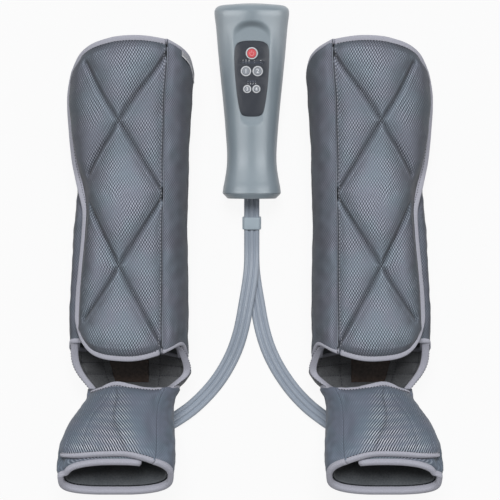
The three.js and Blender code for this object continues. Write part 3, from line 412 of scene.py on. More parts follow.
def soft_oval(half_wide, half_high, sides=14, power=2.6):
    """An oval outline with corners as square as its power makes them."""
    turn = np.linspace(0, math.tau, sides, endpoint=False)
    return np.stack([half_wide * rounded(np.cos(turn), power), half_high * rounded(np.sin(turn), power)], -1)


def round_off(distance, radius):
    """How far a sheet's face falls back near its edge, so that the edge comes out round."""
    inside = np.clip(radius - distance, 0, radius)
    return radius - np.sqrt(np.maximum(radius**2 - inside**2, 0))


# Camera, at the photograph's angle, far enough off to see half a metre through a long lens
SENSOR_WIDTH = 36
VIEW_DISTANCE = 2.94
VIEW_WIDTH = 0.5
CAMERA_HEIGHT = 3.0
CAMERA_SHIFT = -0.0025

camera_data = bpy.data.cameras.new("camera")
camera_data.sensor_width = SENSOR_WIDTH
camera_data.lens = SENSOR_WIDTH * VIEW_DISTANCE / VIEW_WIDTH
camera = add_object("camera", camera_data)
camera.location = (0, CAMERA_SHIFT, CAMERA_HEIGHT)
scene.camera = camera


# Finishes

def rgb(red, green, blue):
    """A screen colour, 0 to 255, as Blender's linear colour."""
    shares = (value / 255 for value in (red, green, blue))
    linear = [v / 12.92 if v <= 0.04045 else ((v + 0.055) / 1.055) ** 2.4 for v in shares]
    return tuple(linear) + (1.0,)


class Nodes:
    """A short way to place and join the nodes of one material or group."""

    def __init__(self, tree):
        self.tree = tree

    def add(self, kind, inputs=None, **settings):
        node = self.tree.nodes.new(kind)
        for name, value in settings.items():
            setattr(node, name, value)
        for name, value in (inputs or {}).items():
            self.feed(node.inputs[name], value)
        return node

    def feed(self, socket, value):
        if isinstance(value, bpy.types.NodeSocket):
            self.tree.links.new(value, socket)
        else:
            socket.default_value = value

    def math(self, operation, a, b=None, c=None):
        node = self.add("ShaderNodeMath", operation=operation)
        for socket, value in zip(node.inputs, (a, b, c)):
            if value is not None:
                self.feed(socket, value)
        return node.outputs[0]

    def mix(self, share, a, b, blend="MIX"):
        node = self.add("ShaderNodeMix", data_type="RGBA", blend_type=blend)
        for index, value in ((0, share), (6, a), (7, b)):
            self.feed(node.inputs[index], value)
        return node.outputs[2]

    def spread(self, value, low, high, to_low=0.0, to_high=1.0):
        inputs = {"Value": value, "From Min": low, "From Max": high, "To Min": to_low, "To Max": to_high}
        return self.add("ShaderNodeMapRange", inputs).outputs["Result"]

    def wave(self, value, pitch):
        """A cosine that comes back after each pitch."""
        turns = self.math("DIVIDE", self.math("MULTIPLY", value, math.tau), pitch)
        return self.math("COSINE", turns)

    def noise(self, vector, scale, detail=2.0):
        inputs = {"Vector": vector, "Scale": scale, "Detail": detail}
        return self.add("ShaderNodeTexNoise", inputs).outputs["Fac"]

    def attribute(self, name):
        return self.add("ShaderNodeAttribute", attribute_name=name).outputs["Fac"]

    def cloth_map(self):
        """The piece's own map of lengths along its cloth, in metres."""
        return self.add("ShaderNodeUVMap", uv_map="cloth").outputs["UV"]

    def relief(self, shader, height, depth, strength):
        """Raises the surface by a pattern's height, to a depth in metres."""
        inputs = {"Height": height, "Distance": depth, "Strength": strength}
        self.feed(shader["Normal"], self.add("ShaderNodeBump", inputs).outputs["Normal"])


def finish_group(name, sockets_in, sockets_out):
    """A shader node group with its inputs, given as label, kind and value, and its float outputs."""
    tree = bpy.data.node_groups.new(name, "ShaderNodeTree")
    for label, kind, value in sockets_in:
        socket = tree.interface.new_socket(name=label, in_out="INPUT", socket_type=f"NodeSocket{kind}")
        if value is not None:
            socket.default_value = value
    for label in sockets_out:
        tree.interface.new_socket(name=label, in_out="OUTPUT", socket_type="NodeSocketFloat")
    start = tree.nodes.new("NodeGroupInput")
    end = tree.nodes.new("NodeGroupOutput")
    return tree, Nodes(tree), start.outputs, end.inputs


def weave_group():
    """Spacer mesh: raised knots on a lattice, lighter than the holes between them."""
    sockets = [
        ("Vector", "Vector", None),
        ("Across", "Float", 0.0028),
        ("Along", "Float", 0.0044),
        ("Slant", "Float", 0.0),
        ("Rib", "Float", 0.0),
        ("Fade", "Float", 0.35),
        ("Plain", "Float", 0.0),
    ]
    tree, n, given, result = finish_group("spacer weave", sockets, ["Knots", "Height"])
    place = n.add("ShaderNodeSeparateXYZ", {"Vector": given["Vector"]}).outputs
    stray = n.math("SUBTRACT", n.noise(given["Vector"], 130.0), 0.5)
    shift = n.math("MULTIPLY", stray, 0.0009)
    u = n.math("ADD", n.math("MULTIPLY_ADD", place["Y"], given["Slant"], place["X"]), shift)
    v = n.math("ADD", place["Y"], shift)
    first = n.wave(u, given["Across"])
    second = n.wave(v, given["Along"])
    second = n.math("MULTIPLY_ADD", n.math("SUBTRACT", 1.0, second), given["Rib"], second)
    knots = n.spread(n.math("MULTIPLY", first, second), -0.75, 0.85)
    patches = n.spread(n.noise(given["Vector"], 38.0, 3.0), 0.4, 0.62)
    fade = n.math("MAXIMUM", n.math("MULTIPLY", patches, given["Fade"]), given["Plain"])
    clear = n.math("MULTIPLY", knots, n.math("SUBTRACT", 1.0, fade))
    knots = n.math("ADD", clear, n.math("MULTIPLY", fade, 0.5))
    n.feed(result["Knots"], knots)
    n.feed(result["Height"], knots)
    return tree


def twill_group():
    """Woven tape: fine slanted yarns with a little unevenness."""
    sockets = [("Vector", "Vector", None), ("Pitch", "Float", 0.0011)]
    tree, n, given, result = finish_group("twill tape", sockets, ["Yarns", "Height"])
    place = n.add("ShaderNodeSeparateXYZ", {"Vector": given["Vector"]}).outputs
    warp = n.wave(n.math("ADD", place["X"], place["Y"]), given["Pitch"])
    weft = n.wave(n.math("SUBTRACT", place["X"], n.math("MULTIPLY", place["Y"], 0.6)), given["Pitch"])
    fuzz = n.noise(given["Vector"], 900.0)
    yarns = n.math("MULTIPLY_ADD", n.math("MULTIPLY", warp, weft), 0.3, fuzz)
    n.feed(result["Yarns"], yarns)
    n.feed(result["Height"], yarns)
    return tree


def grain_group():
    """Fine moulded or brushed grain on object coordinates, and broad uneven wear."""
    sockets = [("Vector", "Vector", None), ("Scale", "Float", 1500.0), ("Wear Scale", "Float", 22.0)]
    tree, n, given, result = finish_group("moulded grain", sockets, ["Grain", "Wear"])
    n.feed(result["Grain"], n.noise(given["Vector"], given["Scale"]))
    n.feed(result["Wear"], n.noise(given["Vector"], given["Wear Scale"], 4.0))
    return tree


WEAVE = weave_group()
TWILL = twill_group()
GRAIN = grain_group()


def new_finish(name, roughness, metallic=0.0, **constants):
    """A material with its plain values set, its nodes and its shader's inputs."""
    material = bpy.data.materials.new(name)
    material.use_nodes = True
    shader = material.node_tree.nodes["Principled BSDF"].inputs
    shader["Roughness"].default_value = roughness
    shader["Metallic"].default_value = metallic
    for label, value in constants.items():
        shader[label.replace("_", " ")].default_value = value
    return material, Nodes(material.node_tree), shader


def mesh_cloth(
    name, thread, ground, hole, across, along,
    slant=0.0, rib=0.0, fade=0.7, relief=0.0004, turned_away_shade_tone=0.56,
):
    """Spacer mesh laid by the piece's own cloth map, with painted shade in its folds, painted highlight on
    its raised places, and painted shade where it turns away from view.
    """
    material, n, shader = new_finish(name, 0.85, Sheen_Weight=0.12, Sheen_Roughness=0.5)
    cloth = n.cloth_map()
    values = {"Vector": cloth, "Across": across, "Along": along, "Slant": slant, "Rib": rib, "Fade": fade}
    weave = n.add("ShaderNodeGroup", values, node_tree=WEAVE)
    n.feed(weave.inputs["Plain"], n.math("MULTIPLY", n.attribute("plain"), 0.85))
    # Painted shade: the cloth gets darker, and its knots blur, where its face turns away from view
    facing = n.add("ShaderNodeLayerWeight", {"Blend": 0.5}).outputs["Facing"]
    turned_away_shade = n.spread(facing, 0.03, 0.36)
    knots = weave.outputs["Knots"]
    blurred_share = n.math("MULTIPLY", turned_away_shade, 0.75)
    knots = n.math("MULTIPLY_ADD", n.math("SUBTRACT", 0.42, knots), blurred_share, knots)
    colour = n.mix(n.spread(knots, 0.0, 0.5), rgb(*hole), rgb(*ground))
    colour = n.mix(n.spread(knots, 0.5, 1.0), colour, rgb(*thread))
    hue = n.spread(n.noise(cloth, 30.0), 0.4, 0.62)
    hue = n.mix(hue, (1.03, 0.99, 1.02, 1), (0.955, 1.015, 1.02, 1))
    colour = n.mix(1.0, colour, hue, "MULTIPLY")
    tone = n.spread(n.noise(cloth, 14.0, 3.0), 0.35, 0.65, 0.93, 1.06)
    # Painted shade and painted highlight, from the sheet's own shading values
    tone = n.math("MULTIPLY", tone, n.spread(n.attribute("painted_shading"), 0.0, 1.0, 0.5, 1.3))
    tone = n.math("MULTIPLY", tone, n.spread(turned_away_shade, 0.0, 1.0, 1.0, turned_away_shade_tone))
    n.feed(shader["Base Color"], n.mix(1.0, colour, tone, "MULTIPLY"))
    n.relief(shader, weave.outputs["Height"], relief, 0.8)
    return material


def tape_cloth(name, light, dark, pitch=0.0011):
    """Woven tape laid by the piece's own cloth map."""
    material, n, shader = new_finish(name, 0.8, Sheen_Weight=0.1)
    twill = n.add("ShaderNodeGroup", {"Vector": n.cloth_map(), "Pitch": pitch}, node_tree=TWILL).outputs
    n.feed(shader["Base Color"], n.mix(n.spread(twill["Yarns"], 0.1, 0.9), rgb(*dark), rgb(*light)))
    n.relief(shader, twill["Height"], 0.0002, 0.6)
    return material


def moulded(name, light, dark, roughness, scale=1500.0, relief=0.00004, metallic=0.0, **constants):
    """A smooth hard finish, a little uneven in its tone and its shine."""
    material, n, shader = new_finish(name, roughness, metallic, **constants)
    place = n.add("ShaderNodeTexCoord").outputs["Object"]
    grain = n.add("ShaderNodeGroup", {"Vector": place, "Scale": scale}, node_tree=GRAIN).outputs
    n.feed(shader["Base Color"], n.mix(n.spread(grain["Wear"], 0.3, 0.7), rgb(*dark), rgb(*light)))
    n.feed(shader["Roughness"], n.spread(grain["Wear"], 0.3, 0.7, roughness - 0.04, roughness + 0.05))
    n.relief(shader, grain["Grain"], relief, 0.5)
    return material


def brushed_cloth(name, light, dark, scale=700.0):
    """Napped cloth, felt, hook tape or loop tape, by the scale of its grain."""
    material, n, shader = new_finish(name, 0.95, Sheen_Weight=0.2, Sheen_Roughness=0.4)
    place = n.add("ShaderNodeTexCoord").outputs["Object"]
    values = {"Vector": place, "Scale": scale, "Wear Scale": 60.0}
    grain = n.add("ShaderNodeGroup", values, node_tree=GRAIN).outputs
    share = n.math("MULTIPLY_ADD", grain["Grain"], 0.6, n.math("MULTIPLY", grain["Wear"], 0.4))
    n.feed(shader["Base Color"], n.mix(n.spread(share, 0.3, 0.7), rgb(*dark), rgb(*light)))
    n.relief(shader, grain["Grain"], 0.0003, 0.6)
    return material


CALF_MESH = mesh_cloth(
    "calf spacer mesh", (186, 195, 207), (120, 127, 139), (46, 52, 62), across=0.0028, along=0.0044,
)
COVER_MESH = mesh_cloth(
    "calf cover mesh", (146, 152, 164), (119, 125, 137), (80, 86, 97), across=0.0024, along=0.0036,
)
FOOT_MESH = mesh_cloth(
    "foot spacer mesh", (226, 232, 240), (113, 123, 138), (28, 34, 44), across=0.0028, along=0.0090,
    slant=0.74, rib=0.75, fade=0.48, relief=0.0006, turned_away_shade_tone=0.86,
)
BINDING = tape_cloth("binding tape", (196, 197, 209), (155, 156, 168))
GUSSET_CLOTH = brushed_cloth("ankle lining cloth", (122, 124, 127), (92, 94, 97))
LINING = brushed_cloth("lining cloth", (98, 102, 106), (66, 70, 74))
HEAT_PATCH = brushed_cloth("heat patch", (94, 76, 66), (54, 45, 41), 400.0)
FELT = brushed_cloth("heater felt", (82, 66, 58), (60, 48, 42))
FILM = moulded("bladder film", (150, 158, 163), (132, 140, 146), 0.42, 600.0, 0.0001)
HOOK_TAPE = brushed_cloth("hook tape", (70, 75, 82), (42, 46, 52), 1400.0)
LOOP_TAPE = brushed_cloth("loop tape", (84, 90, 98), (56, 61, 68), 900.0)
TAB_CLOTH = tape_cloth("tab cloth", (206, 207, 212), (120, 122, 130), 0.0016)
PIPING = tape_cloth("seam piping", (158, 164, 176), (126, 132, 144), 0.0008)
WHITE_THREAD = tape_cloth("white hem", (232, 233, 236), (205, 206, 211), 0.0008)
THREAD = tape_cloth("sewing thread", (176, 178, 188), (140, 143, 154), 0.0006)
DARK_THREAD = tape_cloth("quilting thread", (66, 68, 77), (50, 52, 60), 0.0006)
HOUSING = moulded("housing plastic", (150, 163, 172), (144, 157, 166), 0.36, Specular_IOR_Level=0.85)
PANEL = moulded("panel film", (64, 68, 76), (59, 63, 71), 0.3, 900.0, 0.00002)
BUTTON_RIM = moulded("button rim plastic", (222, 225, 229), (214, 217, 222), 0.4)
BUTTON_CENTRE = moulded("button centre plastic", (152, 158, 167), (146, 152, 161), 0.42)
BUTTON_MARK = moulded("button mark ink", (236, 238, 241), (230, 232, 236), 0.5)
POWER_RED = moulded("power button plastic", (226, 92, 98), (218, 86, 92), 0.4)
POWER_MARK = moulded("power mark ink", (244, 168, 172), (238, 160, 165), 0.5)
SMOKED = moulded("smoked window", (78, 83, 94), (72, 77, 88), 0.2)
LENS = moulded("status lens", (116, 121, 132), (108, 113, 124), 0.3)
VINYL = moulded("hose vinyl", (165, 175, 188), (157, 167, 180), 0.34, 900.0, 0.00003)
CLIP_PLASTIC = moulded("clip plastic", (172, 186, 196), (165, 179, 189), 0.38)
STEEL = moulded("plain steel", (176, 180, 184), (160, 164, 168), 0.34, 2200.0, 0.00002, 0.9)
LAMINATE = moulded("board laminate", (52, 96, 70), (44, 84, 60), 0.45, 500.0)
INNER_PLASTIC = moulded("inner plastic", (62, 66, 71), (55, 59, 64), 0.5)


# Hoses

def dress(piece, finish, slot, body, stands_for=(), fill=None):
    """Gives a piece its finish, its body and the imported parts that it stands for."""
    piece.data.materials.append(finish)
    if body:
        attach(piece, body)
    if stands_for:
        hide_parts(*stands_for)
    return piece


def ribbon_section():
    """The outline of three fused tubes side by side, from its left end over the top and back."""
    turns = np.radians([180, 157.5, 135, 112.5, 90, 67.5, 45, 22.5])
    top = []
    for middle in (-2 * HOSE_RADIUS, 0, 2 * HOSE_RADIUS):
        for turn in turns:
            high = HOSE_RADIUS * math.sin(turn)
            if middle > -2 * HOSE_RADIUS or turn < turns[0]:
                high = max(high, CREVICE_SHARE * HOSE_RADIUS)
            top.append((middle + HOSE_RADIUS * math.cos(turn), high))
    top.append((3 * HOSE_RADIUS, 0.0))
    top[0] = (-3 * HOSE_RADIUS, 0.0)
    return np.array(top + [(x, -y) for x, y in top[-2:0:-1]])


def hose_ribbon(side, route):
    """One ribbon swept along its route, with its middle line and its length in metres."""
    centres = smooth_route(route, step=1.8)
    tangent = unit_runs(centres)
    across = np.cross([0, 0, 1], tangent)
    across /= np.linalg.norm(across, axis=1)[:, None]
    over = np.cross(tangent, across)
    section = ribbon_section()
    rings = centres[:, None] + across[:, None] * section[None, :, :1] + over[:, None] * section[None, :, 1:]
    piece = swept_tape(f"{side}_hoses", rings * MM)
    length = float(np.sum(np.linalg.norm(np.diff(centres, axis=0), axis=1)))
    return piece, centres * MM, length * MM


def hose_clip():
    """The sleeve that holds the two ribbons together, round in its corners and edges."""
    half_wide, half_high = 3 * HOSE_RADIUS + CLIP_ROOM_ACROSS, 2 * HOSE_RADIUS + CLIP_ROOM_OVER
    path = soft_oval(half_wide, half_high, 72, CLIP_CORNER_POWER)
    out = rightwards(closed_runs(path))
    profile = soft_oval(CLIP_WALL / 2, CLIP_WIDTH / 2, 20, 5)
    rings = np.zeros((len(path), len(profile), 3))
    rings[..., 0] = path[:, None, 0] + out[:, None, 0] * profile[None, :, 0]
    rings[..., 1] = profile[None, :, 1]
    rings[..., 2] = path[:, None, 1] + out[:, None, 1] * profile[None, :, 0]
    piece = swept_tape("hose_sleeve", leaned(rings, CLIP_TILT, CLIP_PLACE) * MM, closed=True)
    return dress(piece, CLIP_PLASTIC, "housing", "base", ["hose_clip"])


def make_hoses():
    sleeve = hose_clip()
    for side, route in (("left", LEFT_ROUTE), ("right", RIGHT_ROUTE)):
        piece, centres, length = hose_ribbon(side, route)
        dress(piece, VINYL, "hose_vinyl", None, [f"{side}_hose_ribbon"])
        end = Vector(centres[-1])
        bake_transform(piece)


make_hoses()


# Wraps

STOP_SHARES = [0, 0.44, 0.52, 0.82, 0.845, 1]
STEP_FAR = 348
STEP_NEAR = 356
# Lowest and highest value of the painted shade and painted highlight that the cloth reads
PAINTED_SHADING_LIMITS = (0.05, 1)

# Depths of the layers in a wrap's wall, outer and inner face, or outer part and tongue for a lining
CALF_COVER_THICKNESS = 3
CALF_LINING_DEPTHS = (7.7, 15.3)
CALF_LINING_THICKNESS = 2
CALF_BLADDER_DEPTHS = (3.35, 6.2)
HEATER_DEPTHS = (6.6, 7.4)
LOOP_TAPE_DEPTHS = (10.5, 11.7)
CALF_HOOK_DEPTHS = (8.3, 9.5)
FOOT_COVER_THICKNESS = 2.5
FOOT_LINING_DEPTHS = (6.1, 9.6)
FOOT_LINING_THICKNESS = 1.5
FOOT_BLADDER_DEPTHS = (2.9, 5.7)
FOOT_HOOK_DEPTHS = (5.3, 6.5)
TAB_DEPTHS = (-1.55, -0.85)
TAB_HEM_DEPTHS = (-1.95, -1.6)

# Sewing: pitches of the seams, how far they draw the cloth in, and the tapes and cords over its edges
LINING_SEAM_PITCH = 44
CELL_PITCH = 46
DRAWN_DEPTH = 3.3
CALF_TAPE_INSET = 2.5
CALF_TAPE_SEAM_GAPS = (2.0, 0.4)
FOOT_FOLD_PLACES = (0.0, 19.0, 33.0)
STITCH_THICKNESS = 0.8
PIPING_DEPTH = 1.5
PIPING_HALF_WIDTH = 0.39
PIPING_HALF_HEIGHT = 0.75

# The ankle wall: its lining's seams, how far its two sides bulge, and the patch on its floor
GUSSET_SEAM_SHARES = (0.3, 0.6)
GUSSET_SEAM_ANGLES = (-58, -123, -20, -160)
GUSSET_BULGES = (8.0, 5.5)
HEEL_PATCH_THICKNESS = 1.1

# The layers of a wrap's two parts, from the outside in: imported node, finish, slot and fill
CALF_LAYERS = (
    ("calf_cover", COVER_MESH, "calf_mesh", 0.6),
    ("calf_lining", LINING, "lining_cloth", 0.4),
    ("calf_air_bladder", FILM, "bladder_film", 0.2),
    ("calf_heating_pad", FELT, "heater_felt", 0.9),
    ("calf_loop_patch", LOOP_TAPE, "closure_tape", None),
)
FOOT_LAYERS = (
    ("foot_cover", FOOT_MESH, "foot_mesh", 0.6),
    ("foot_lining", LINING, "lining_cloth", 0.4),
    ("foot_air_bladder", FILM, "bladder_film", 0.2),
)

# The hose gland: place across the wrap, half width, and heights of its underside and top
GLAND_Y = -76.5
GLAND_POWER = 10 / 3
GLAND_STATIONS = [
    (10.2, 9.9, 4.6, 20), (11, 10.4, 3.9, 19.6), (14, 10.4, 3.7, 18.6), (18, 10.2, 3.8, 17),
    (22, 9.8, 4.2, 15.4), (26, 9.3, 4.7, 14.0), (30, 8.9, 5.2, 12.9), (33, 8.6, 5.5, 12.1),
    (34.2, 8.3, 5.7, 11.8), (34.6, 7.9, 5.9, 11.5),
]

# The cloth simulation that puffs up the flaps, on sheets made larger by the scale
AIR_SCALE = 0.03
AIR_MASS = 0.1
AIR_STIFFNESS = 15.0
AIR_PRESSURE = 4.0
AIR_FRAMES = 20


def column_angles(shares, seam, edge, tongue):
    """Angles of a cover's columns in one row: round the back, down the step and over the tongue."""
    stops = [seam, -FLAT_ANGLE, FLAT_ANGLE - 180, edge - STEP_FAR, edge - STEP_NEAR, tongue - 360]
    return np.interp(shares, STOP_SHARES, stops)


def edged(count, length, radius):
    """Shares from 0 to 1, even but for closer ones at both ends, where an edge turns round."""
    ends = radius * np.array([0, 0.12, 0.45, 1.0]) / length
    middle = np.linspace(ends[-1], 1 - ends[-1], count)
    return np.concatenate([ends[:-1], middle, 1 - ends[:-1][::-1]])


def border_distances(grid):
    return np.minimum.reduce(side_distances(grid))


def rounded_rim(grid, radii):
    """How far the faces of a sheet fall back at its four sides, each with its own radius."""
    sides = side_distances(grid)
    return np.maximum.reduce([round_off(side, radius) for side, radius in zip(sides, radii)])


def blurred(field, reach):
    """A field with its small waves smoothed away over a number of grid steps."""
    out = field.copy()
    for _ in range(reach):
        wide = np.pad(out, 1, mode="edge")
        beside = wide[:-2, 1:-1] + wide[2:, 1:-1] + wide[1:-1, :-2] + wide[1:-1, 2:]
        out = (wide[1:-1, 1:-1] * 4 + beside) / 8
    return out


def layer(name, place, angles, along, top, bottom, radius, rise=None, painted_shading_gain=0.6, seam_radius=None):
    """
    A soft closed sheet of a wrap: place(angle, along, depth) in the wrap's millimetres, between the
    depths top and bottom, round at its rim, with its outer face raised by rise.
    """
    rest = place(angles, along, top)
    radii = [radius if seam_radius is None else seam_radius, radius, radius, radius]
    rim = rounded_rim(rest, radii)
    rise = np.zeros(angles.shape) if rise is None else rise * ease(border_distances(rest) / (3 * radius))
    # Painted shade and painted highlight: this value darkens the cloth in hollows and lightens it on raised
    # places
    painted_shading = np.clip(0.62 + painted_shading_gain * (rise - blurred(rise, 8)), *PAINTED_SHADING_LIMITS)
    skin = place(angles, along, top + rim - rise)
    back = place(angles, along, bottom - rim)
    return {"name": name, "skin": skin, "back": back, "painted_shading": painted_shading}


def even_layer(name, place, grid, depths, radius, rise=None):
    """A layer of one thickness that lies at the same two depths all over."""
    angles, along = grid
    top, bottom = depths
    return layer(name, place, angles, along, top + 0 * along, bottom + 0 * along, radius, rise)


def make_sheet(shape, side):
    """A wrap's sheet as a piece, with the values that its cloth reads: painted shade and painted highlight,
    and places worn plain.
    """
    piece = closed_sheet(f"{side}_{shape['name']}", in_row(shape["skin"], side), in_row(shape["back"], side))
    for label, behind in (("painted_shading", 0.6), ("plain", 0.0)):
        if label in shape:
            values = np.concatenate([shape[label].ravel(), np.full(shape["back"].size // 3, behind)])
            piece.data.attributes.new(label, "FLOAT", "POINT").data.foreach_set("value", values)
    return piece


def calf_cover_grid(column_shares, row_shares, start=0.0, end=1.0, columns=(0, 1)):
    """Angles and places of a layer of the calf cover, or of a part of it between two shares."""
    rows = between(start, end, row_shares)
    shares = between(*columns, column_shares)
    edges = smooth(EDGE_STATIONS, EDGE_ANGLES, rows)
    angles = np.array([column_angles(shares, SEAM_ANGLE, edge, TONGUE_END_ANGLE) for edge in edges])
    bottom = smooth(COVER_ANGLES, COVER_BOTTOMS, angles)
    top = smooth(COVER_ANGLES, COVER_TOPS, angles)
    return angles, CALF_LENGTH * between(bottom, top, rows[:, None])


def foot_cover_grid(column_shares, row_shares, start=0.0, end=0.95, columns=(0, 1)):
    rows = between(start, end, row_shares)
    shares = between(*columns, column_shares)
    angles = column_angles(shares, FOOT_SEAM_ANGLE, FOOT_EDGE_ANGLE, FOOT_TONGUE_ANGLE)
    return np.broadcast_arrays(angles[None, :], rows[:, None])


def step_share(angles, edge):
    """0 on a cover's outer part and 1 on the tongue that it steps down to."""
    return ease((edge - STEP_FAR - angles) / (STEP_NEAR - STEP_FAR))


def calf_tongue(angles, y):
    """0 on the calf cover's outer part and 1 on its tongue, by the flap's edge at each place."""
    return step_share(angles, smooth(EDGE_STATIONS, EDGE_ANGLES, y / CALF_LENGTH))


def calf_cover_shape():
    """The cover, puffed unevenly and stepped down to the tongue under the flap."""
    angles, y = calf_cover_grid(edged(92, 300, 1.5), edged(84, CALF_LENGTH, 1.5))
    turn = np.radians(angles) * ROLL_RADIUS
    tongue = calf_tongue(angles, y)
    puff = 0.55 + 0.4 * ripples(turn, y, 11, 55) + 0.22 * ripples(turn, y, 12, 19)
    puff += 0.5 * hump(y - 20, 9) * ripples(turn, y * 0.3, 13, 12)
    rise = np.clip(puff, 0, 1.6) * (1 - 0.6 * tongue)
    top = TONGUE_DEPTH * tongue
    bottom = top + CALF_COVER_THICKNESS
    cover = layer("calf_cover_cloth", calf_point, angles, y, top, bottom, 1.4, rise, seam_radius=0.7)
    # Painted shade on the cover where it lies under the flap
    shade_under_flap = ease((-angles - 160) / 20)
    cover["painted_shading"] = np.clip(cover["painted_shading"] - 0.24 * shade_under_flap, *PAINTED_SHADING_LIMITS)
    return cover


def calf_lining_shape():
    """The lining, with cross seams that draw it in and let it bulge between them."""
    radius = 0.95
    angles, y = calf_cover_grid(edged(76, 300, 0.9), edged(70, CALF_LENGTH, 0.9))
    turn = np.radians(angles) * ROLL_RADIUS
    top = between(*CALF_LINING_DEPTHS, calf_tongue(angles, y))
    bottom = top + CALF_LINING_THICKNESS
    lining = layer("calf_lining_cloth", calf_point, angles, y, top, bottom, radius)
    quilt = 0.7 * hump(np.mod(y - 10, LINING_SEAM_PITCH) - LINING_SEAM_PITCH / 2, 3)
    quilt = np.clip(quilt + 0.25 * ripples(turn, y, 15, 24), -0.6, 0.9)
    rim = round_off(border_distances(lining["skin"]), radius)
    lining["back"] = calf_point(angles, y, bottom - rim + quilt * -0.5)
    return lining


def calf_shell_shapes():
    """The calf part's layers from its outside in: cover, lining, bladder, heating felt and loop tape."""
    grid = calf_cover_grid(edged(40, 240, 1.4), edged(40, 230, 1.4), 0.135, 0.865, (0.05, 0.74))
    cells = 0.5 + 0.5 * np.cos(math.tau * (grid[1] - 40) / CELL_PITCH)
    bladder = even_layer("calf_bladder_film", calf_point, grid, CALF_BLADDER_DEPTHS, 1.35, -0.5 * cells)
    grid = calf_cover_grid(edged(20, 130, 0.39), edged(20, 110, 0.39), 0.255, 0.62, (0.27, 0.56))
    heater = even_layer("calf_heating_felt", calf_point, grid, HEATER_DEPTHS, 0.39)
    grid = calf_cover_grid(edged(14, 36, 0.55), edged(50, 190, 0.55), 0.14, 0.75, (0.86, 0.985))
    loop = even_layer("calf_loop_tape", calf_point, grid, LOOP_TAPE_DEPTHS, 0.55)
    return calf_cover_shape(), calf_lining_shape(), bladder, heater, loop


def channel_lines():
    """The four sewn channels on the unrolled flap, straight as seen from above."""
    t = np.linspace(0, 1, 36)
    near, far = (float(rounded(np.cos(np.radians(v)))) for v in (SEAM_ANGLE, QUILT_END_ANGLE))
    c = between(near, far, t)
    a = np.arccos(np.sign(c) * np.abs(c) ** (SECTION_POWER / 2)) * ROLL_RADIUS
    return [np.stack([a, CALF_LENGTH * between(low, high, t)], -1) for low, high in QUILT_CHANNELS]


def segment_distances(points, start, run):
    """Distances of points from a straight stretch that starts at a place and runs along a vector."""
    reach = points - start
    t = np.clip(reach @ run / (run @ run), 0, 1)
    return np.linalg.norm(reach - t[..., None] * run, axis=-1)


def channel_distances(a, y):
    """Distance on the unrolled flap to the nearest sewn channel, negative on its ankle side."""
    points = np.stack([a, y], -1)
    nearest = np.full(a.shape, 1e3)
    for line in channel_lines():
        for start, run in zip(line, np.diff(line, axis=0)):
            distance = segment_distances(points, start, run)
            reach = points - start
            below = run[0] * reach[..., 1] - run[1] * reach[..., 0] < 0
            nearest = np.where(distance < np.abs(nearest), np.where(below, -distance, distance), nearest)
    return nearest


def calf_flap_grid(across, along):
    """Places on the unrolled calf flap, across from its seam and along from its ankle end."""
    start = np.radians(SEAM_ANGLE) * ROLL_RADIUS + SEAM_GAP
    bottom_angle, top_angle = FLAP_EDGE_ENDS
    turns = np.linspace(SEAM_ANGLE, top_angle, 240)
    bottoms = CALF_LENGTH * smooth(FLAP_ANGLES, FLAP_BOTTOMS, turns)
    tops = CALF_LENGTH * smooth(FLAP_ANGLES, FLAP_TOPS, turns)
    a_line = np.radians(turns) * ROLL_RADIUS
    low_a = between(start, np.radians(bottom_angle) * ROLL_RADIUS, across)
    high_a = between(start, np.radians(top_angle) * ROLL_RADIUS, across)
    low = np.stack([low_a, np.interp(low_a, a_line, bottoms)], -1)
    high = np.stack([high_a, np.interp(high_a, a_line, tops)], -1)
    near = np.stack([np.full(along.shape, start), between(low[0, 1], high[0, 1], along)], -1)
    far_y = between(low[-1, 1], high[-1, 1], along)
    far_a = np.radians(smooth(EDGE_STATIONS, EDGE_ANGLES, far_y / CALF_LENGTH)) * ROLL_RADIUS
    far_a[0], far_a[-1] = low[-1, 0], high[-1, 0]
    far = np.stack([far_a, far_y], -1)
    u, v = across[None, :, None], along[:, None, None]
    ends = (1 - v) * low[None] + v * high[None]
    sides = (1 - u) * near[:, None] + u * far[:, None]
    corners = (1 - v) * ((1 - u) * low[0] + u * low[-1]) + v * ((1 - u) * high[0] + u * high[-1])
    return ends + sides - corners


def far_lift(edge_angle):
    """1 where the flap's far edge reaches down the wrap's side, 0 where it lies on top of it."""
    return ease((edge_angle - 142) / 34)


def spread_over(values, rows, columns, shape):
    """Values known at some rows and columns of a grid, filled in over the whole grid."""
    wide = np.array([[np.interp(range(shape[1]), columns, row[:, k]) for k in range(3)] for row in values])
    full = [[np.interp(range(shape[0]), rows, wide[:, k, j]) for k in range(3)] for j in range(shape[1])]
    return np.array(full).transpose(2, 0, 1)


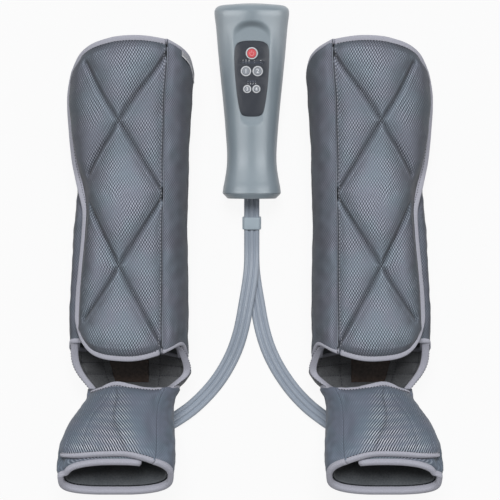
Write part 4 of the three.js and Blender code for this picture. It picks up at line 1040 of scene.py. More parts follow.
def pressed_out(skin, back, held, counts, limit):
    """
    How far air pushes a sewn sheet's skin out between its seams, found by a cloth simulation on every
    few points of its grid, held where held is 1, and never farther than the limit.
    """
    rows, columns = (
        np.unique(np.linspace(0, n - 1, c).round().astype(int)) for n, c in zip(skin.shape, counts)
    )
    pick = np.ix_(rows, columns)
    piece = closed_sheet("sheet_in_work", skin[pick] * AIR_SCALE, back[pick] * AIR_SCALE)
    sewn = piece.vertex_groups.new(name="sewn")
    loose = held[pick].ravel() < 0.5
    sewn.add([int(k) for k in np.flatnonzero(~loose)], 1.0, "REPLACE")
    sewn.add(list(range(len(loose), len(piece.data.vertices))), 1.0, "REPLACE")
    cloth = piece.modifiers.new("air", "CLOTH")
    settings = cloth.settings
    settings.quality = 5
    settings.mass = AIR_MASS
    settings.tension_stiffness = settings.compression_stiffness = AIR_STIFFNESS
    settings.shear_stiffness = AIR_STIFFNESS / 3
    settings.bending_stiffness = 0.05
    settings.vertex_group_mass = "sewn"
    settings.use_pressure = True
    settings.uniform_pressure_force = AIR_PRESSURE
    settings.effector_weights.gravity = 0
    cloth.collision_settings.use_collision = False
    cloth.point_cache.frame_start, cloth.point_cache.frame_end = 1, AIR_FRAMES
    for frame_number in range(1, AIR_FRAMES + 1):
        scene.frame_set(frame_number)
    moved = piece.evaluated_get(bpy.context.evaluated_depsgraph_get()).data
    points = np.zeros(len(moved.vertices) * 3)
    moved.vertices.foreach_get("co", points)
    points = points.reshape(-1, 3)[: len(loose)].reshape(len(rows), len(columns), 3)
    shift = points / AIR_SCALE - skin[pick]
    bpy.data.objects.remove(piece)
    scene.frame_set(1)
    size = np.linalg.norm(shift, axis=-1, keepdims=True)
    shift *= limit * np.tanh(size / limit) / np.maximum(size, 1e-6)
    return spread_over(shift, rows, columns, skin.shape)


def calf_flap_depths(a, y, channel, sides, lift):
    """How deep the flap's skin lies: sunk at its channels, puffed between them, thin by its binding."""
    near, far, low, high = sides
    away = np.abs(channel)
    depth = 2.3 * hump(away, 2.3) + 0.9 * np.exp(-away / 7) - 1.6 * (1 - hump(away, 16))
    depth -= 0.5 * hump(channel + 4.2, 1.7)
    waves = 0.35 * ripples(a, y, 21, 34) + 0.22 * ripples(a, y, 22, 12)
    depth -= waves * ease(away / 9) * ease(np.minimum.reduce(sides) / 9)
    at_ends = DRAWN_DEPTH * (1 - ease((np.minimum(low, high) - 4.2) / 10))
    at_edge = (DRAWN_DEPTH + 2.6 * lift) * (1 - ease((far - 4.0) / (10 + 34 * lift)))
    at_seam = 1.3 * (1 - ease(near / 6))
    drawn = np.maximum.reduce([at_ends, at_edge, at_seam])
    pulled = depth * (1 - ease(drawn / DRAWN_DEPTH)) + drawn * (1 - 0.35 * (depth < 0) * (drawn < 1))
    return np.where(drawn > 0, pulled, depth)


def calf_flap_folds(y, channel, sides, depth):
    """The flap's painted shading: painted shade in its channels, along its binding and seam, where it turns
    away and in a patch towards the knee end, with a painted highlight on the ridge beside each channel and on
    its raised places.
    """
    near, far, low, high = sides
    painted_shading = 0.66 - 0.55 * hump(channel - 0.5, 1.25) + 0.22 * hump(channel + 2.9, 1.3)
    painted_shading -= 0.3 * hump(np.minimum(np.minimum(low, high), far) - 6.2, 1.1)
    painted_shading -= 0.3 * np.exp(-near / 0.9)
    painted_shading -= 0.34 * (1 - ease((far - 12) / 26))
    painted_shading -= 0.26 * np.exp(-(((far - 60) / 17) ** 2) - ((y / CALF_LENGTH - 0.83) / 0.13) ** 2)
    return np.clip(painted_shading + 0.25 * (blurred(depth, 10) - depth), *PAINTED_SHADING_LIMITS)


def calf_flap_shape():
    """The calf flap, quilted by its channels and pushed out by air between them."""
    plan = calf_flap_grid(edged(92, 130, 2.0), edged(196, 300, 2.0))
    a, y = plan[..., 0], plan[..., 1]
    flat = np.concatenate([plan, np.zeros(plan.shape[:2] + (1,))], -1)
    sides = side_distances(flat)
    near, far, low, high = sides
    channel = channel_distances(a, y)
    lift = far_lift(np.degrees(plan[:, -1:, 0] / ROLL_RADIUS))
    depth = calf_flap_depths(a, y, channel, sides, lift)
    painted_shading = calf_flap_folds(y, channel, sides, depth)
    rim = rounded_rim(flat, [0.6, 1.4, 1.4, 1.4])
    angles = np.degrees(a / ROLL_RADIUS)
    thin = 1.9 * (1 - ease(np.minimum(np.minimum(low, high), far) / 8))
    skin = calf_point(angles, y, depth + rim)
    back = calf_point(angles, y, FLAP_THICKNESS - thin - rim)
    held = ((np.abs(channel) < 2.2) | (np.minimum.reduce(sides) < 6.5)).astype(float)
    pressed = pressed_out(skin, calf_point(angles, y, depth + rim + 5), held, (104, 48), 3.0)
    pressed *= ease((far - 6 - 12 * lift) / (24 + 16 * lift))[..., None]
    # Painted highlight where air pushes the cloth out, and painted shade where it is held in
    painted_shading = np.clip(painted_shading + 0.18 * (np.linalg.norm(pressed, axis=-1) - 1), *PAINTED_SHADING_LIMITS)
    return {"name": "calf_flap_cloth", "skin": skin + pressed, "back": back, "painted_shading": painted_shading, "plan": plan}


class Tape:
    """A folded tape over an edge; line runs along the edge on the unrolled sheet, in millimetres."""

    def __init__(self, line, place, unit, middle, half_wide, half_high, tilt=0.0):
        self.line, self.place, self.unit = line, place, unit
        self.half_wide, self.half_high = np.broadcast_to(half_wide, len(line)), half_high
        self.middle = np.broadcast_to(middle, len(line))
        self.tilt = np.broadcast_to(tilt, len(line))
        self.out = rightwards(unit_runs(line))

    def at(self, reach, up):
        """Points all along the tape, some way across it and above its middle."""
        c, s = np.cos(self.tilt), np.sin(self.tilt)
        reach = reach * self.half_wide
        at = self.line + self.out * (reach * c - up * s)[:, None]
        depth = self.middle - (up * c + reach * s)
        return self.place(np.degrees(at[:, 0] / ROLL_RADIUS), at[:, 1] / self.unit, depth)

    def rings(self, sides=14, power=3.0):
        oval = soft_oval(1, self.half_high, sides, power)
        return np.stack([self.at(reach, up) for reach, up in oval], 1)

    def stitch_line(self, reach):
        return self.at(reach, self.half_high + 0.02)


def calf_tape():
    """The binding round the calf flap, turned up where the edge reaches down the wrap's side."""
    columns, rows = 60, 120
    plan = calf_flap_grid(np.linspace(0, 1, columns), np.linspace(0, 1, rows))
    line = np.concatenate([plan[0, 1:], plan[1:, -1], plan[-1, -2:0:-1]])
    line = line - CALF_TAPE_INSET * rightwards(unit_runs(line))
    keep = np.ones(len(line), bool)
    first_corner = columns - 2
    for corner, dropped in ((first_corner, 1), (first_corner + rows - 1, 4)):
        keep[corner - dropped : corner + dropped + 1] = False
    line = line[keep][::3]
    ends = []
    for end, inner, gap in zip((line[0], line[-1]), (line[1], line[-2]), CALF_TAPE_SEAM_GAPS):
        reach = (end[0] - plan[0, 0, 0] - gap) / (inner[0] - end[0])
        ends.append(end + (end - inner) * reach)
    line = smooth_route(np.concatenate([ends[:1], line, ends[1:]]), step=2.2)
    far = ease((unit_runs(line)[:, 1] - 0.25) / 0.6)
    lift = far_lift(np.degrees(line[:, 0] / ROLL_RADIUS) + 3) * far
    half_wide = 3.3 + 0.3 * far + 0.3 * lift
    return Tape(line, calf_point, 1, 4.9 - 1.5 * lift, half_wide, 2.1, np.radians(26 * far + 28 * lift))


def foot_flap_grid(across, along):
    """Angles and shares of the foot flap, across from its seam and along from its ankle end."""
    start = FOOT_SEAM_ANGLE + math.degrees(FOOT_SEAM_GAP / ROLL_RADIUS)
    angles = between(start, FOOT_EDGE_ANGLE - 0.5, across)
    ankle = smooth(FOOT_FLAP_ANGLES, FOOT_FLAP_ANKLES, angles) - ANKLE_REACH
    ankle = ankle - 0.062 * hump(angles - 108, 22) - 0.012 * (angles < 60)
    toe = smooth(FOOT_FLAP_ANGLES, FOOT_FLAP_TOES, angles)
    return np.broadcast_arrays(angles[None, :], between(ankle, toe, along[:, None]))


def foot_flap_shape():
    """The foot flap, creased from its ankle end towards the toes and pushed out by air beside the crease."""
    angles, share = foot_flap_grid(edged(96, 130, 1.5), edged(70, 95, 1.5))
    a, y = np.radians(angles) * ROLL_RADIUS, share * FOOT_LENGTH
    flat = np.stack([a, y, 0 * a], -1)
    near, far, low, high = side_distances(flat)
    border = np.minimum.reduce([near, far, low, high])
    crease = a - np.radians(108 - 29 * share) * ROLL_RADIUS
    depth = 1.1 * np.exp(-np.abs(crease) / 1.8) * ease(low / 12) - 1.1 * (1 - hump(border, 15))
    depth -= 0.35 * ripples(a, y, 31, 26) * ease(border / 9)
    for k, place in enumerate(FOOT_FOLD_PLACES):
        line = crease - place - (0.25 * k + 0.1) * (y - 40)
        depth += (0.55 - 0.5 * (k == 0)) * hump(line, 1.6) * ease(border / 8)
    drawn = np.maximum(1.9 * (1 - ease((np.minimum(low, high) - 3.6) / 8)), 0.9 * (1 - ease(far / 8)))
    depth = depth * (1 - ease(drawn / 1.9)) + drawn
    depth *= ease(near / 9)
    rim = rounded_rim(flat, [0.7, 1.5, 1.2, 1.2])
    # Painted shade in the crease and in the cloth's dips, painted highlight on its rises
    painted_shading = 0.6 + 0.55 * (blurred(depth, 5) - depth) - 0.3 * np.exp(-np.abs(crease) / 1.2)
    thin = 0.8 * (1 - ease(np.minimum(low, high) / 7))
    skin = foot_point(angles, share, depth + rim)
    back = foot_point(angles, share, FOOT_FLAP_THICKNESS - thin - rim)
    held = np.maximum((border < 6) * 1.0, (np.abs(crease) < 1.5) * 1.0)
    pressed = pressed_out(skin, foot_point(angles, share, depth + rim + 4), held, (34, 46), 2.2)
    return {
        "name": "foot_flap_cloth", "skin": skin + pressed * ease((near - 4) / 14)[..., None], "back": back,
        "painted_shading": np.clip(painted_shading, *PAINTED_SHADING_LIMITS), "plain": 1 - ease((crease + 18) / 14),
    }


def foot_tape(at_toe):
    """The tape over the foot flap's toe end or its instep end."""
    across, along = np.linspace(0.003, 0.985, 60), np.linspace(0, 1, 3)
    angles, share = foot_flap_grid(across, along)
    row = -1 if at_toe else 0
    line = np.stack([np.radians(angles[row]) * ROLL_RADIUS, share[row] * FOOT_LENGTH], -1)
    line[:, 1] += -(1.3 + 1.0 * ease(across / 0.25)) if at_toe else 2.2
    line = smooth_route(line[::4][:: -1 if at_toe else 1], step=2.2)
    return Tape(line, foot_point, FOOT_LENGTH, 3.0 if at_toe else 3.2, 2.6, 2.6 if at_toe else 2.2)


def foot_shell_shapes():
    """The foot part's layers from its outside in: cover, lining and bladder."""
    angles, share = foot_cover_grid(edged(84, 280, 1.2), edged(40, 100, 1.2))
    a, y = np.radians(angles) * ROLL_RADIUS, share * FOOT_LENGTH
    top = FOOT_TONGUE_DEPTH * step_share(angles, FOOT_EDGE_ANGLE)
    puff = 0.5 + 0.35 * ripples(a, y, 41, 36) + 0.3 * ripples(a, y, 42, 13)
    puff = np.clip(puff, 0, 1.4) * ease((FOOT_SEAM_ANGLE - angles - 3) / 14)
    bottom = top + FOOT_COVER_THICKNESS
    cover = layer("foot_cover_cloth", foot_point, angles, share, top, bottom, 1.2, puff, seam_radius=0.7)
    cover["plain"] = 0.5 + 0.5 * ease((angles + 165) / 20)

    angles, share = foot_cover_grid(edged(70, 280, 0.7), edged(34, 100, 0.7))
    top = between(*FOOT_LINING_DEPTHS, step_share(angles, FOOT_EDGE_ANGLE))
    lining = layer("foot_lining_cloth", foot_point, angles, share, top, top + FOOT_LINING_THICKNESS, 0.72)

    grid = foot_cover_grid(edged(40, 180, 1.4), edged(26, 75, 1.4), 0.22, 0.83, (0.14, 0.74))
    bladder = even_layer("foot_bladder_film", foot_point, grid, FOOT_BLADDER_DEPTHS, 1.35)
    return cover, lining, bladder


def calf_hook_shape():
    """The hook strip under the calf flap, by its far edge."""
    plan = calf_flap_grid(0.62 + 0.16 * edged(12, 22, 0.55), 0.16 + 0.63 * edged(60, 190, 0.55))
    grid = np.degrees(plan[..., 0] / ROLL_RADIUS), plan[..., 1]
    return even_layer("calf_hook_tape", calf_point, grid, CALF_HOOK_DEPTHS, 0.55)


def foot_hook_shape():
    grid = foot_flap_grid(0.57 + 0.26 * edged(18, 32, 0.55), 0.3 + 0.38 * edged(18, 34, 0.55))
    return even_layer("foot_hook_tape", foot_point, grid, FOOT_HOOK_DEPTHS, 0.55)


def ring_tape(name, side, place, columns, along, middle, half_high, half_wide, flat=3.0):
    """A folded tape over a cover's end: one ring at each column, turned with the cover's skin."""
    oval = soft_oval(half_wide, 1.0, 14, flat)
    rings = np.zeros((len(columns), len(oval), 3))
    for k, (reach, lift) in enumerate(oval):
        rings[:, k] = place(columns, along + reach, middle - lift * half_high)
    return swept_tape(f"{side}_{name}", in_row(rings, side))


def cover_end(row, shares):
    """Angles and places along one end of the calf cover, 0 at the ankle and 1 at the knee, and its tongue."""
    edge = float(smooth(EDGE_STATIONS, EDGE_ANGLES, row))
    angles = column_angles(shares, SEAM_ANGLE, edge, TONGUE_END_ANGLE)
    table = COVER_TOPS if row else COVER_BOTTOMS
    return angles, CALF_LENGTH * smooth(COVER_ANGLES, table, angles), step_share(angles, edge)


def calf_end_tapes(side):
    """The bindings over the calf cover's two ends, thinner on the tongue."""
    for row, name, inward in ((0, "ankle", 1.7), (1, "knee", -1.7)):
        angles, y, tongue = cover_end(row, np.linspace(0, 1, 130))
        middle = between(4.8, 14.6, tongue)
        half_high = between(5.5, 3.3, tongue)
        tape = ring_tape(f"calf_{name}_binding", side, calf_point, angles, y + inward, middle, half_high, 2.6)
        dress(tape, BINDING, "binding_tape", "base")


def toe_tape(side):
    """The bindings over the foot cover's toe end and along the instep's rim."""
    shares = np.linspace(0, 1, 120)
    angles = column_angles(shares, FOOT_SEAM_ANGLE, FOOT_EDGE_ANGLE, FOOT_TONGUE_ANGLE)
    tongue = step_share(angles, FOOT_EDGE_ANGLE)
    by_seam = 1 - ease(shares / 0.07)
    middle = between(2.8, 9.0, tongue)
    half_high = between(3.1, 2.5, tongue) - 0.3 * by_seam

    def place(angle, along, depth):
        return foot_point(angle, along / FOOT_LENGTH, depth)

    toe_end = 0.973 * FOOT_LENGTH
    tape = ring_tape("toe_binding_tape", side, place, angles, toe_end, middle, half_high, 2.9)
    dress(tape, BINDING, "binding_tape", f"{side}_foot", [f"{side}_toe_binding"])
    angles = np.linspace(FOOT_SEAM_ANGLE - 0.9, 8, 22)
    rim = -1.3 + 4.9 * ease((angles - 18) / 30)
    tape = ring_tape("instep_rim_tape", side, place, angles, rim, 2.9, 2.9, 2.6)
    dress(tape, BINDING, "binding_tape", f"{side}_foot")


def gusset_angles(count, t):
    """Angles of the ankle wall's columns at a share of the way from the calf to the foot."""
    bulge = np.sin(math.pi * np.clip(t, 0, 1)) ** 0.7
    near, far = 36 - 26 * bulge, -192 + 6 * bulge
    stops = [near, -FLAT_ANGLE, FLAT_ANGLE - 180, far]
    return np.interp(count, [0, 0.5, 0.6, 1], stops)


def gusset_point(angles, t, depth):
    """Points of the ankle wall, a share of the way from the calf's end to the foot's, bulging sideways."""
    start = CALF_LENGTH * smooth(COVER_ANGLES, COVER_BOTTOMS, angles)
    near = calf_point(angles, start - 0.3, depth)
    far = foot_point(angles, 0 * angles, depth)
    at = between(near, far, t)
    side = np.cos(np.radians(angles))
    bulge = np.where(side > 0, *GUSSET_BULGES)
    at[..., 0] += bulge * np.sin(math.pi * np.clip(t, 0, 1)) * side**3
    return at


def gusset_rows(angles, rows, depths):
    """The ankle wall's points row by row, each row with its own angles and depths."""
    return np.array([gusset_point(*row) for row in zip(angles, rows, depths)])


def gusset_faces(angles, t):
    """Depths of the ankle wall's outer and inner faces, with the lining's seams drawn in."""
    swell = np.sin(math.pi * np.clip(t, 0, 1)) ** 0.8
    folds = 0.7 * np.sin(math.tau * t * 2.6 + 0.02 * np.radians(angles) * ROLL_RADIUS) * swell
    seams = np.zeros(np.broadcast(angles, t).shape)
    for share in GUSSET_SEAM_SHARES:
        seams = np.maximum(seams, hump((t - share) * 38, 2.2))
    for angle in GUSSET_SEAM_ANGLES:
        seams = np.maximum(seams, hump(angles - angle, 2.4))
    return 2.2 - 0.8 * swell - 0.5 * folds, 7.4 + 0.9 * swell - 0.35 * folds - 1.5 * seams * swell


def gusset_shape():
    """The ankle wall, whose rows run under the ends of the calf part and the foot part."""
    rows = np.concatenate([[-0.08, -0.04], np.linspace(0, 1, 44), [1.03, 1.06]])
    columns = edged(110, 230, 2.5)
    angles = np.array([gusset_angles(columns, t) for t in rows])
    outer, inner = gusset_faces(angles, rows[:, None] + 0 * angles)
    skin, back = gusset_rows(angles, rows, outer), gusset_rows(angles, rows, inner)
    half = (inner - outer)[..., None] / 2
    rim = np.minimum(rounded_rim(skin, [2.4, 2.4, 2.0, 2.0])[..., None], half - 0.02)
    middle = (skin + back) / 2
    skin, back = (middle + (face - middle) * (half - rim) / half for face in (skin, back))
    return {"name": "ankle_gusset_cloth", "skin": skin, "back": back, "painted_shading": np.full(skin.shape[:2], 0.6)}


def heel_patch_shape():
    """The dark patch sewn to the wall's floor, inside the ankle opening."""
    columns, rows = edged(34, 46, 0.5), 0.2 + 0.6 * edged(20, 24, 0.5)
    angles = np.broadcast_to(-72 - 42 * columns, (len(rows), len(columns)))
    t = rows[:, None] + 0 * angles
    lift = 7.9 + 0.25 * np.sin(math.tau * t * 2.6)
    rim = rounded_rim(gusset_rows(angles, rows, lift), [0.45] * 4)
    skin = gusset_rows(angles, rows, lift + rim)
    back = gusset_rows(angles, rows, lift + HEEL_PATCH_THICKNESS - rim)
    return {"name": "heel_patch_cloth", "skin": skin, "back": back, "painted_shading": np.full(skin.shape[:2], 0.6)}


def gusset_tape_rings(at_far, t, reach_up):
    """Rings of the binding over one free edge of the ankle wall, which is seen edge on from above."""
    edge = np.array([gusset_angles(1.0 if at_far else 0.0, share) for share in t])
    inward = math.degrees(2.0 / ROLL_RADIUS) * (1 if at_far else -1)
    rings = []
    for reach, up in reach_up:
        angles = edge + inward + math.degrees(reach / ROLL_RADIUS)
        rings.append(gusset_rows(angles, t, np.full(len(t), 4.5 - up)))
    return np.stack(rings, 1)


SHAPES = {
    "calf_shell": calf_shell_shapes(),
    "calf_flap": calf_flap_shape(),
    "foot_flap": foot_flap_shape(),
    "foot_shell": foot_shell_shapes(),
    "gusset": gusset_shape(),
    "heel_patch": heel_patch_shape(),
    "calf_hook": calf_hook_shape(),
    "foot_hook": foot_hook_shape(),
}


def gland_relief(side):
    """The tapered strain relief where a ribbon goes into the sole."""
    rings = []
    for x, half_wide, low, high in GLAND_STATIONS:
        y, z = soft_oval(half_wide, (high - low) / 2, 36, GLAND_POWER).T
        rings.append(np.stack([0 * y + x, GLAND_Y + y, (low + high) / 2 + z], -1))
    piece = swept_tape(f"{side}_hose_relief", in_row(rings, side))
    dress(piece, VINYL, "hose_vinyl", f"{side}_foot", [f"{side}_hose_gland"])


def bend_at_ankle(piece, side):
    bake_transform(piece)


CALF_TAPE = calf_tape()
FOOT_TAPES = {"toe": foot_tape(True), "instep": foot_tape(False)}


def stitch_tree():
    """Lays short rounded stitches along lines of edges."""
    tree = bpy.data.node_groups.new("stitch rows", "GeometryNodeTree")
    for name, kind in (
        ("Lines", "Geometry"), ("Spacing", "Float"), ("Length", "Float"), ("Thickness", "Float"),
        ("Thread", "Material"),
    ):
        tree.interface.new_socket(name=name, in_out="INPUT", socket_type=f"NodeSocket{kind}")
    tree.interface.new_socket(name="Stitches", in_out="OUTPUT", socket_type="NodeSocketGeometry")
    n = Nodes(tree)
    given, made = tree.nodes.new("NodeGroupInput").outputs, tree.nodes.new("NodeGroupOutput").inputs
    curve = n.add("GeometryNodeMeshToCurve", {"Mesh": given["Lines"]}).outputs["Curve"]
    spaced = {"Curve": curve, "Length": given["Spacing"]}
    rows = n.add("GeometryNodeCurveToPoints", spaced, mode="LENGTH").outputs
    bead = n.add("GeometryNodeMeshUVSphere", {"Segments": 6, "Rings": 4, "Radius": 0.5}).outputs["Mesh"]
    sizes = {"X": given["Thickness"], "Y": given["Thickness"], "Z": given["Length"]}
    size = n.add("ShaderNodeCombineXYZ", sizes).outputs["Vector"]
    laid = n.add(
        "GeometryNodeInstanceOnPoints",
        {"Points": rows["Points"], "Instance": bead, "Rotation": rows["Rotation"], "Scale": size},
    ).outputs["Instances"]
    real = n.add("GeometryNodeRealizeInstances", {"Geometry": laid}).outputs["Geometry"]
    smoothed = n.add("GeometryNodeSetShadeSmooth", {"Geometry": real}).outputs["Geometry"]
    done = n.add("GeometryNodeSetMaterial", {"Geometry": smoothed, "Material": given["Thread"]})
    n.feed(made["Stitches"], done.outputs["Geometry"])
    return tree


STITCH_ROWS = stitch_tree()


def stitches(name, side, lines, spacing, length, finish, body=None):
    """One piece of all the stitches along some lines of points in the wrap's millimetres."""
    points, edges = [], []
    for line in lines:
        first = len(points)
        points += in_row(line, side).tolist()
        edges += [(k, k + 1) for k in range(first, len(points) - 1)]
    mesh = bpy.data.meshes.new(name)
    mesh.from_pydata(points, edges, [])
    rows = add_object(f"{side}_{name}_rows", mesh)
    modifier = rows.modifiers.new("stitches", "NODES")
    modifier.node_group = STITCH_ROWS
    values = {
        "Spacing": spacing * MM, "Length": length * MM, "Thickness": STITCH_THICKNESS * MM, "Thread": finish,
    }
    for item in STITCH_ROWS.interface.items_tree:
        if item.in_out == "INPUT" and item.name in values:
            modifier[item.identifier] = values[item.name]
    made = finished_mesh(rows)
    bpy.data.objects.remove(rows)
    made.name = f"{side}_{name}"
    piece = add_object(f"{side}_{name}", made)
    if body:
        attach(piece, body)
    return piece


def on_skin(shape, line, lift=0.15):
    """Points of the calf flap's finished skin under a line drawn on the unrolled flap."""
    plan = shape["plan"].reshape(-1, 2)
    skin = shape["skin"].reshape(-1, 3)
    made = []
    for at in line:
        gap = np.sum((plan - at) ** 2, axis=1)
        near = np.argpartition(gap, 4)[:4]
        weight = 1 / (gap[near] + 0.05)
        made.append((skin[near] * weight[:, None]).sum(0) / weight.sum())
    made = np.array(made)
    out = made - np.array([0, 0, CALF_HALF_HEIGHT])
    out[:, 1] = 0
    return made + lift * out / np.linalg.norm(out, axis=1)[:, None]


def calf_stitches(side):
    """The calf flap's sewing: its four channels, its seam and its binding."""
    shape = SHAPES["calf_flap"]
    body = f"{side}_calf_flap"
    quilting = [on_skin(shape, line[1:-1]) for line in channel_lines()]
    low, high = shape["plan"][0, 6, 1] + 10, shape["plan"][-1, 6, 1] - 10
    start = np.radians(SEAM_ANGLE) * ROLL_RADIUS + SEAM_GAP
    seam = on_skin(shape, np.stack([np.full(120, start + 3.2), np.linspace(low, high, 120)], -1))
    binding = CALF_TAPE.stitch_line(-0.62)[2:-2]
    stitches("calf_quilting_stitches", side, quilting, 3.1, 2.1, DARK_THREAD, body)
    stitches("calf_seam_stitches", side, [seam], 3.3, 2.0, THREAD, body)
    stitches("calf_binding_stitches", side, [binding], 3.0, 1.9, DARK_THREAD, body)


def foot_stitches(side):
    """The sewing of the two tapes over the foot flap's ends."""
    lines = [tape.stitch_line(-0.6)[2:-2] for tape in FOOT_TAPES.values()]
    body = f"{side}_foot_flap"
    stitches("foot_binding_stitches", side, lines, 3.0, 1.9, DARK_THREAD, body)


def seam_piping(side):
    """A thin cord sewn into the seam between the calf cover and the calf flap."""
    y = np.linspace(6, CALF_LENGTH - 2, 110)
    turn = np.linspace(0, math.tau, 10, endpoint=False)
    middle = SEAM_ANGLE + math.degrees(0.5 * SEAM_GAP / ROLL_RADIUS)
    rings = np.zeros((len(y), len(turn), 3))
    for k, t in enumerate(turn):
        angle = middle + math.degrees(PIPING_HALF_WIDTH * math.cos(t) / ROLL_RADIUS)
        rings[:, k] = calf_point(angle + 0 * y, y, PIPING_DEPTH - PIPING_HALF_HEIGHT * math.sin(t))
    piece = swept_tape(f"{side}_calf_seam_piping", in_row(rings, side))
    dress(piece, PIPING, "calf_mesh", "base")


def corner_tab():
    """A small plain woven tab at the left wrap's top inner corner, with a pale hem."""
    across, along = edged(24, 40, 0.3), edged(8, 8, 0.3)
    angles = 39 - 34 * across
    top = CALF_LENGTH * smooth(COVER_ANGLES, COVER_TOPS, angles) - 4.0
    width = 5.5 + 3.5 * across
    y = top - width * (1 - along[:, None])
    grid = np.broadcast_to(angles, y.shape), y
    tab = even_layer("calf_corner_tab", calf_point, grid, TAB_DEPTHS, 0.33)
    dress(make_sheet(tab, "left"), TAB_CLOTH, "binding_tape", "base")
    y = (top - width)[None, :] + 1.4 * (edged(4, 2, 0.3)[:, None] - 0.35)
    grid = np.broadcast_to(angles, y.shape), y
    hem = even_layer("calf_corner_tab_hem", calf_point, grid, TAB_HEM_DEPTHS, 0.15)
    dress(make_sheet(hem, "left"), WHITE_THREAD, "binding_tape", "base")


def build_layers(side, shapes, layers, body):
    for shape, (node, finish, slot, fill) in zip(shapes, layers):
        dress(make_sheet(shape, side), finish, slot, body, [f"{side}_{node}"], fill)


def build_calf(side):
    """The calf part's layers with their bindings, and the flap with its binding, sewing and hook strip."""
    build_layers(side, SHAPES["calf_shell"], CALF_LAYERS, "base")
    calf_end_tapes(side)

    flap = make_sheet(SHAPES["calf_flap"], side)
    body = f"{side}_calf_flap"
    dress(flap, CALF_MESH, "calf_mesh", body, [f"{side}_calf_flap"], 0.7)
    binding = swept_tape(f"{side}_calf_flap_tape", in_row(CALF_TAPE.rings(), side))
    dress(binding, BINDING, "binding_tape", body, [f"{side}_calf_flap_binding"])
    calf_stitches(side)
    seam_piping(side)
    hook = make_sheet(SHAPES["calf_hook"], side)
    dress(hook, HOOK_TAPE, "closure_tape", body, [f"{side}_calf_hook_strip"])


def gusset_seams():
    """Lines of the sewing on the ankle wall's lining, round it and across it."""
    lines = []
    for share in GUSSET_SEAM_SHARES:
        angles = gusset_angles(np.linspace(0.05, 0.95, 90), share)
        lines.append(gusset_point(angles, share, gusset_faces(angles, share)[1] + 0.2))
    for angle in GUSSET_SEAM_ANGLES:
        t = np.linspace(0.05, 0.95, 24)
        lines.append(np.array([gusset_point(angle, v, float(gusset_faces(angle, v)[1]) + 0.2) for v in t]))
    return lines


def build_ankle(side):
    """The soft wall between calf and foot with its patch, rims and sewing."""
    gusset = make_sheet(SHAPES["gusset"], side)
    dress(gusset, GUSSET_CLOTH, "lining_cloth", None, [f"{side}_ankle_gusset"], 0.5)
    patch = make_sheet(SHAPES["heel_patch"], side)
    dress(patch, HEAT_PATCH, "heater_felt", None)
    pieces = [gusset, patch]
    oval = soft_oval(2.6, 3.7, 14, 2.8)
    for at_far, name in ((False, "near"), (True, "far")):
        rings = gusset_tape_rings(at_far, np.linspace(-0.03, 1.03, 34), oval)
        tape = swept_tape(f"{side}_ankle_{name}_rim_tape", in_row(rings, side))
        pieces.append(dress(tape, BINDING, "binding_tape", None))
        line = gusset_tape_rings(at_far, np.linspace(0.03, 0.97, 30), [(0.0, 3.75)])[:, 0]
        rows = f"ankle_{name}_rim_stitches"
        pieces.append(stitches(rows, side, [line], 3.0, 1.9, DARK_THREAD))
    seams = gusset_seams()
    pieces.append(stitches("ankle_lining_stitches", side, seams, 2.8, 2.3, DARK_THREAD))
    for piece in pieces:
        bend_at_ankle(piece, side)


def build_foot(side):
    """The foot part's layers with their bindings and gland, and the flap with its tapes and hook strip."""
    build_layers(side, SHAPES["foot_shell"], FOOT_LAYERS, f"{side}_foot")
    toe_tape(side)
    gland_relief(side)

    flap = make_sheet(SHAPES["foot_flap"], side)
    body = f"{side}_foot_flap"
    dress(flap, FOOT_MESH, "foot_mesh", body, [f"{side}_foot_flap"], 0.6)
    for name, tape in FOOT_TAPES.items():
        piece = swept_tape(f"{side}_foot_flap_{name}_tape", in_row(tape.rings(), side))
        stands_for = [f"{side}_foot_flap_binding"] if name == "toe" else ()
        dress(piece, BINDING, "binding_tape", body, stands_for)
    foot_stitches(side)
    hook = make_sheet(SHAPES["foot_hook"], side)
    dress(hook, HOOK_TAPE, "closure_tape", body, [f"{side}_foot_hook_strip"])


for side_name in SIDES:
    build_calf(side_name)
    build_ankle(side_name)
    build_foot(side_name)
corner_tab()


# Controller

BARREL_PLACE = (1.8, 49.65, 25.12)
BARREL_REST_LENGTH = 181.04
BARREL_REST_RISE = 7.068
BARREL_TILT = math.atan(BARREL_REST_RISE / BARREL_REST_LENGTH)
FACE_TURN = math.atan(FACE_SLOPE)
PARTING = 0.15
TRAY = 3.6
JACK_HEIGHT = 8.5

# Screws by their place along the barrel, with the depth of each boss's open end
SCREW_DEPTHS = {26.6: -23.2, 169.4: -29.4}

# Status windows: place up the face, half width and the lamps' places across; their marks, with size and place
STATUS_WINDOWS = {
    "upper": (15.8, 10.5, (-8.8, -5.8, -2.8, 2.7, 9.0)),
    "lower": (-2.9, 4.5, (-3.8, -1.3, 1.3, 3.8)),
}
SCALE_MARKS = {"upper": ("123-+", 2.3, 17.9), "lower": ("1234", 1.9, -5.2)}
INNER_FINISHES = {
    "button_board": LAMINATE, "main_board": LAMINATE, "pump_motor": STEEL, "pump_head": INNER_PLASTIC,
    "valve_block": INNER_PLASTIC, "left_solenoid_valve": STEEL, "right_solenoid_valve": STEEL,
    "air_outlet_block": INNER_PLASTIC,
}


def from_barrel(points):
    """Moves the controller's own millimetres to the row frame, in metres."""
    return leaned(points, BARREL_TILT, BARREL_PLACE) * MM


def from_face(points):
    """Moves a place on the controller's face, across, up and out of it, to the row frame."""
    return from_barrel(leaned(points, FACE_TURN, (0, FACE_Y, FACE_Z)))


def from_below(points):
    """Moves a place under the controller's cap, across, out of its face and inwards, to the row frame."""
    return from_barrel(np.asarray(points)[..., [0, 2, 1]])


def about(place, *middle):
    """A way to place a form that is drawn about its own middle."""
    def placed(points):
        return place(points + np.array(middle))

    return placed


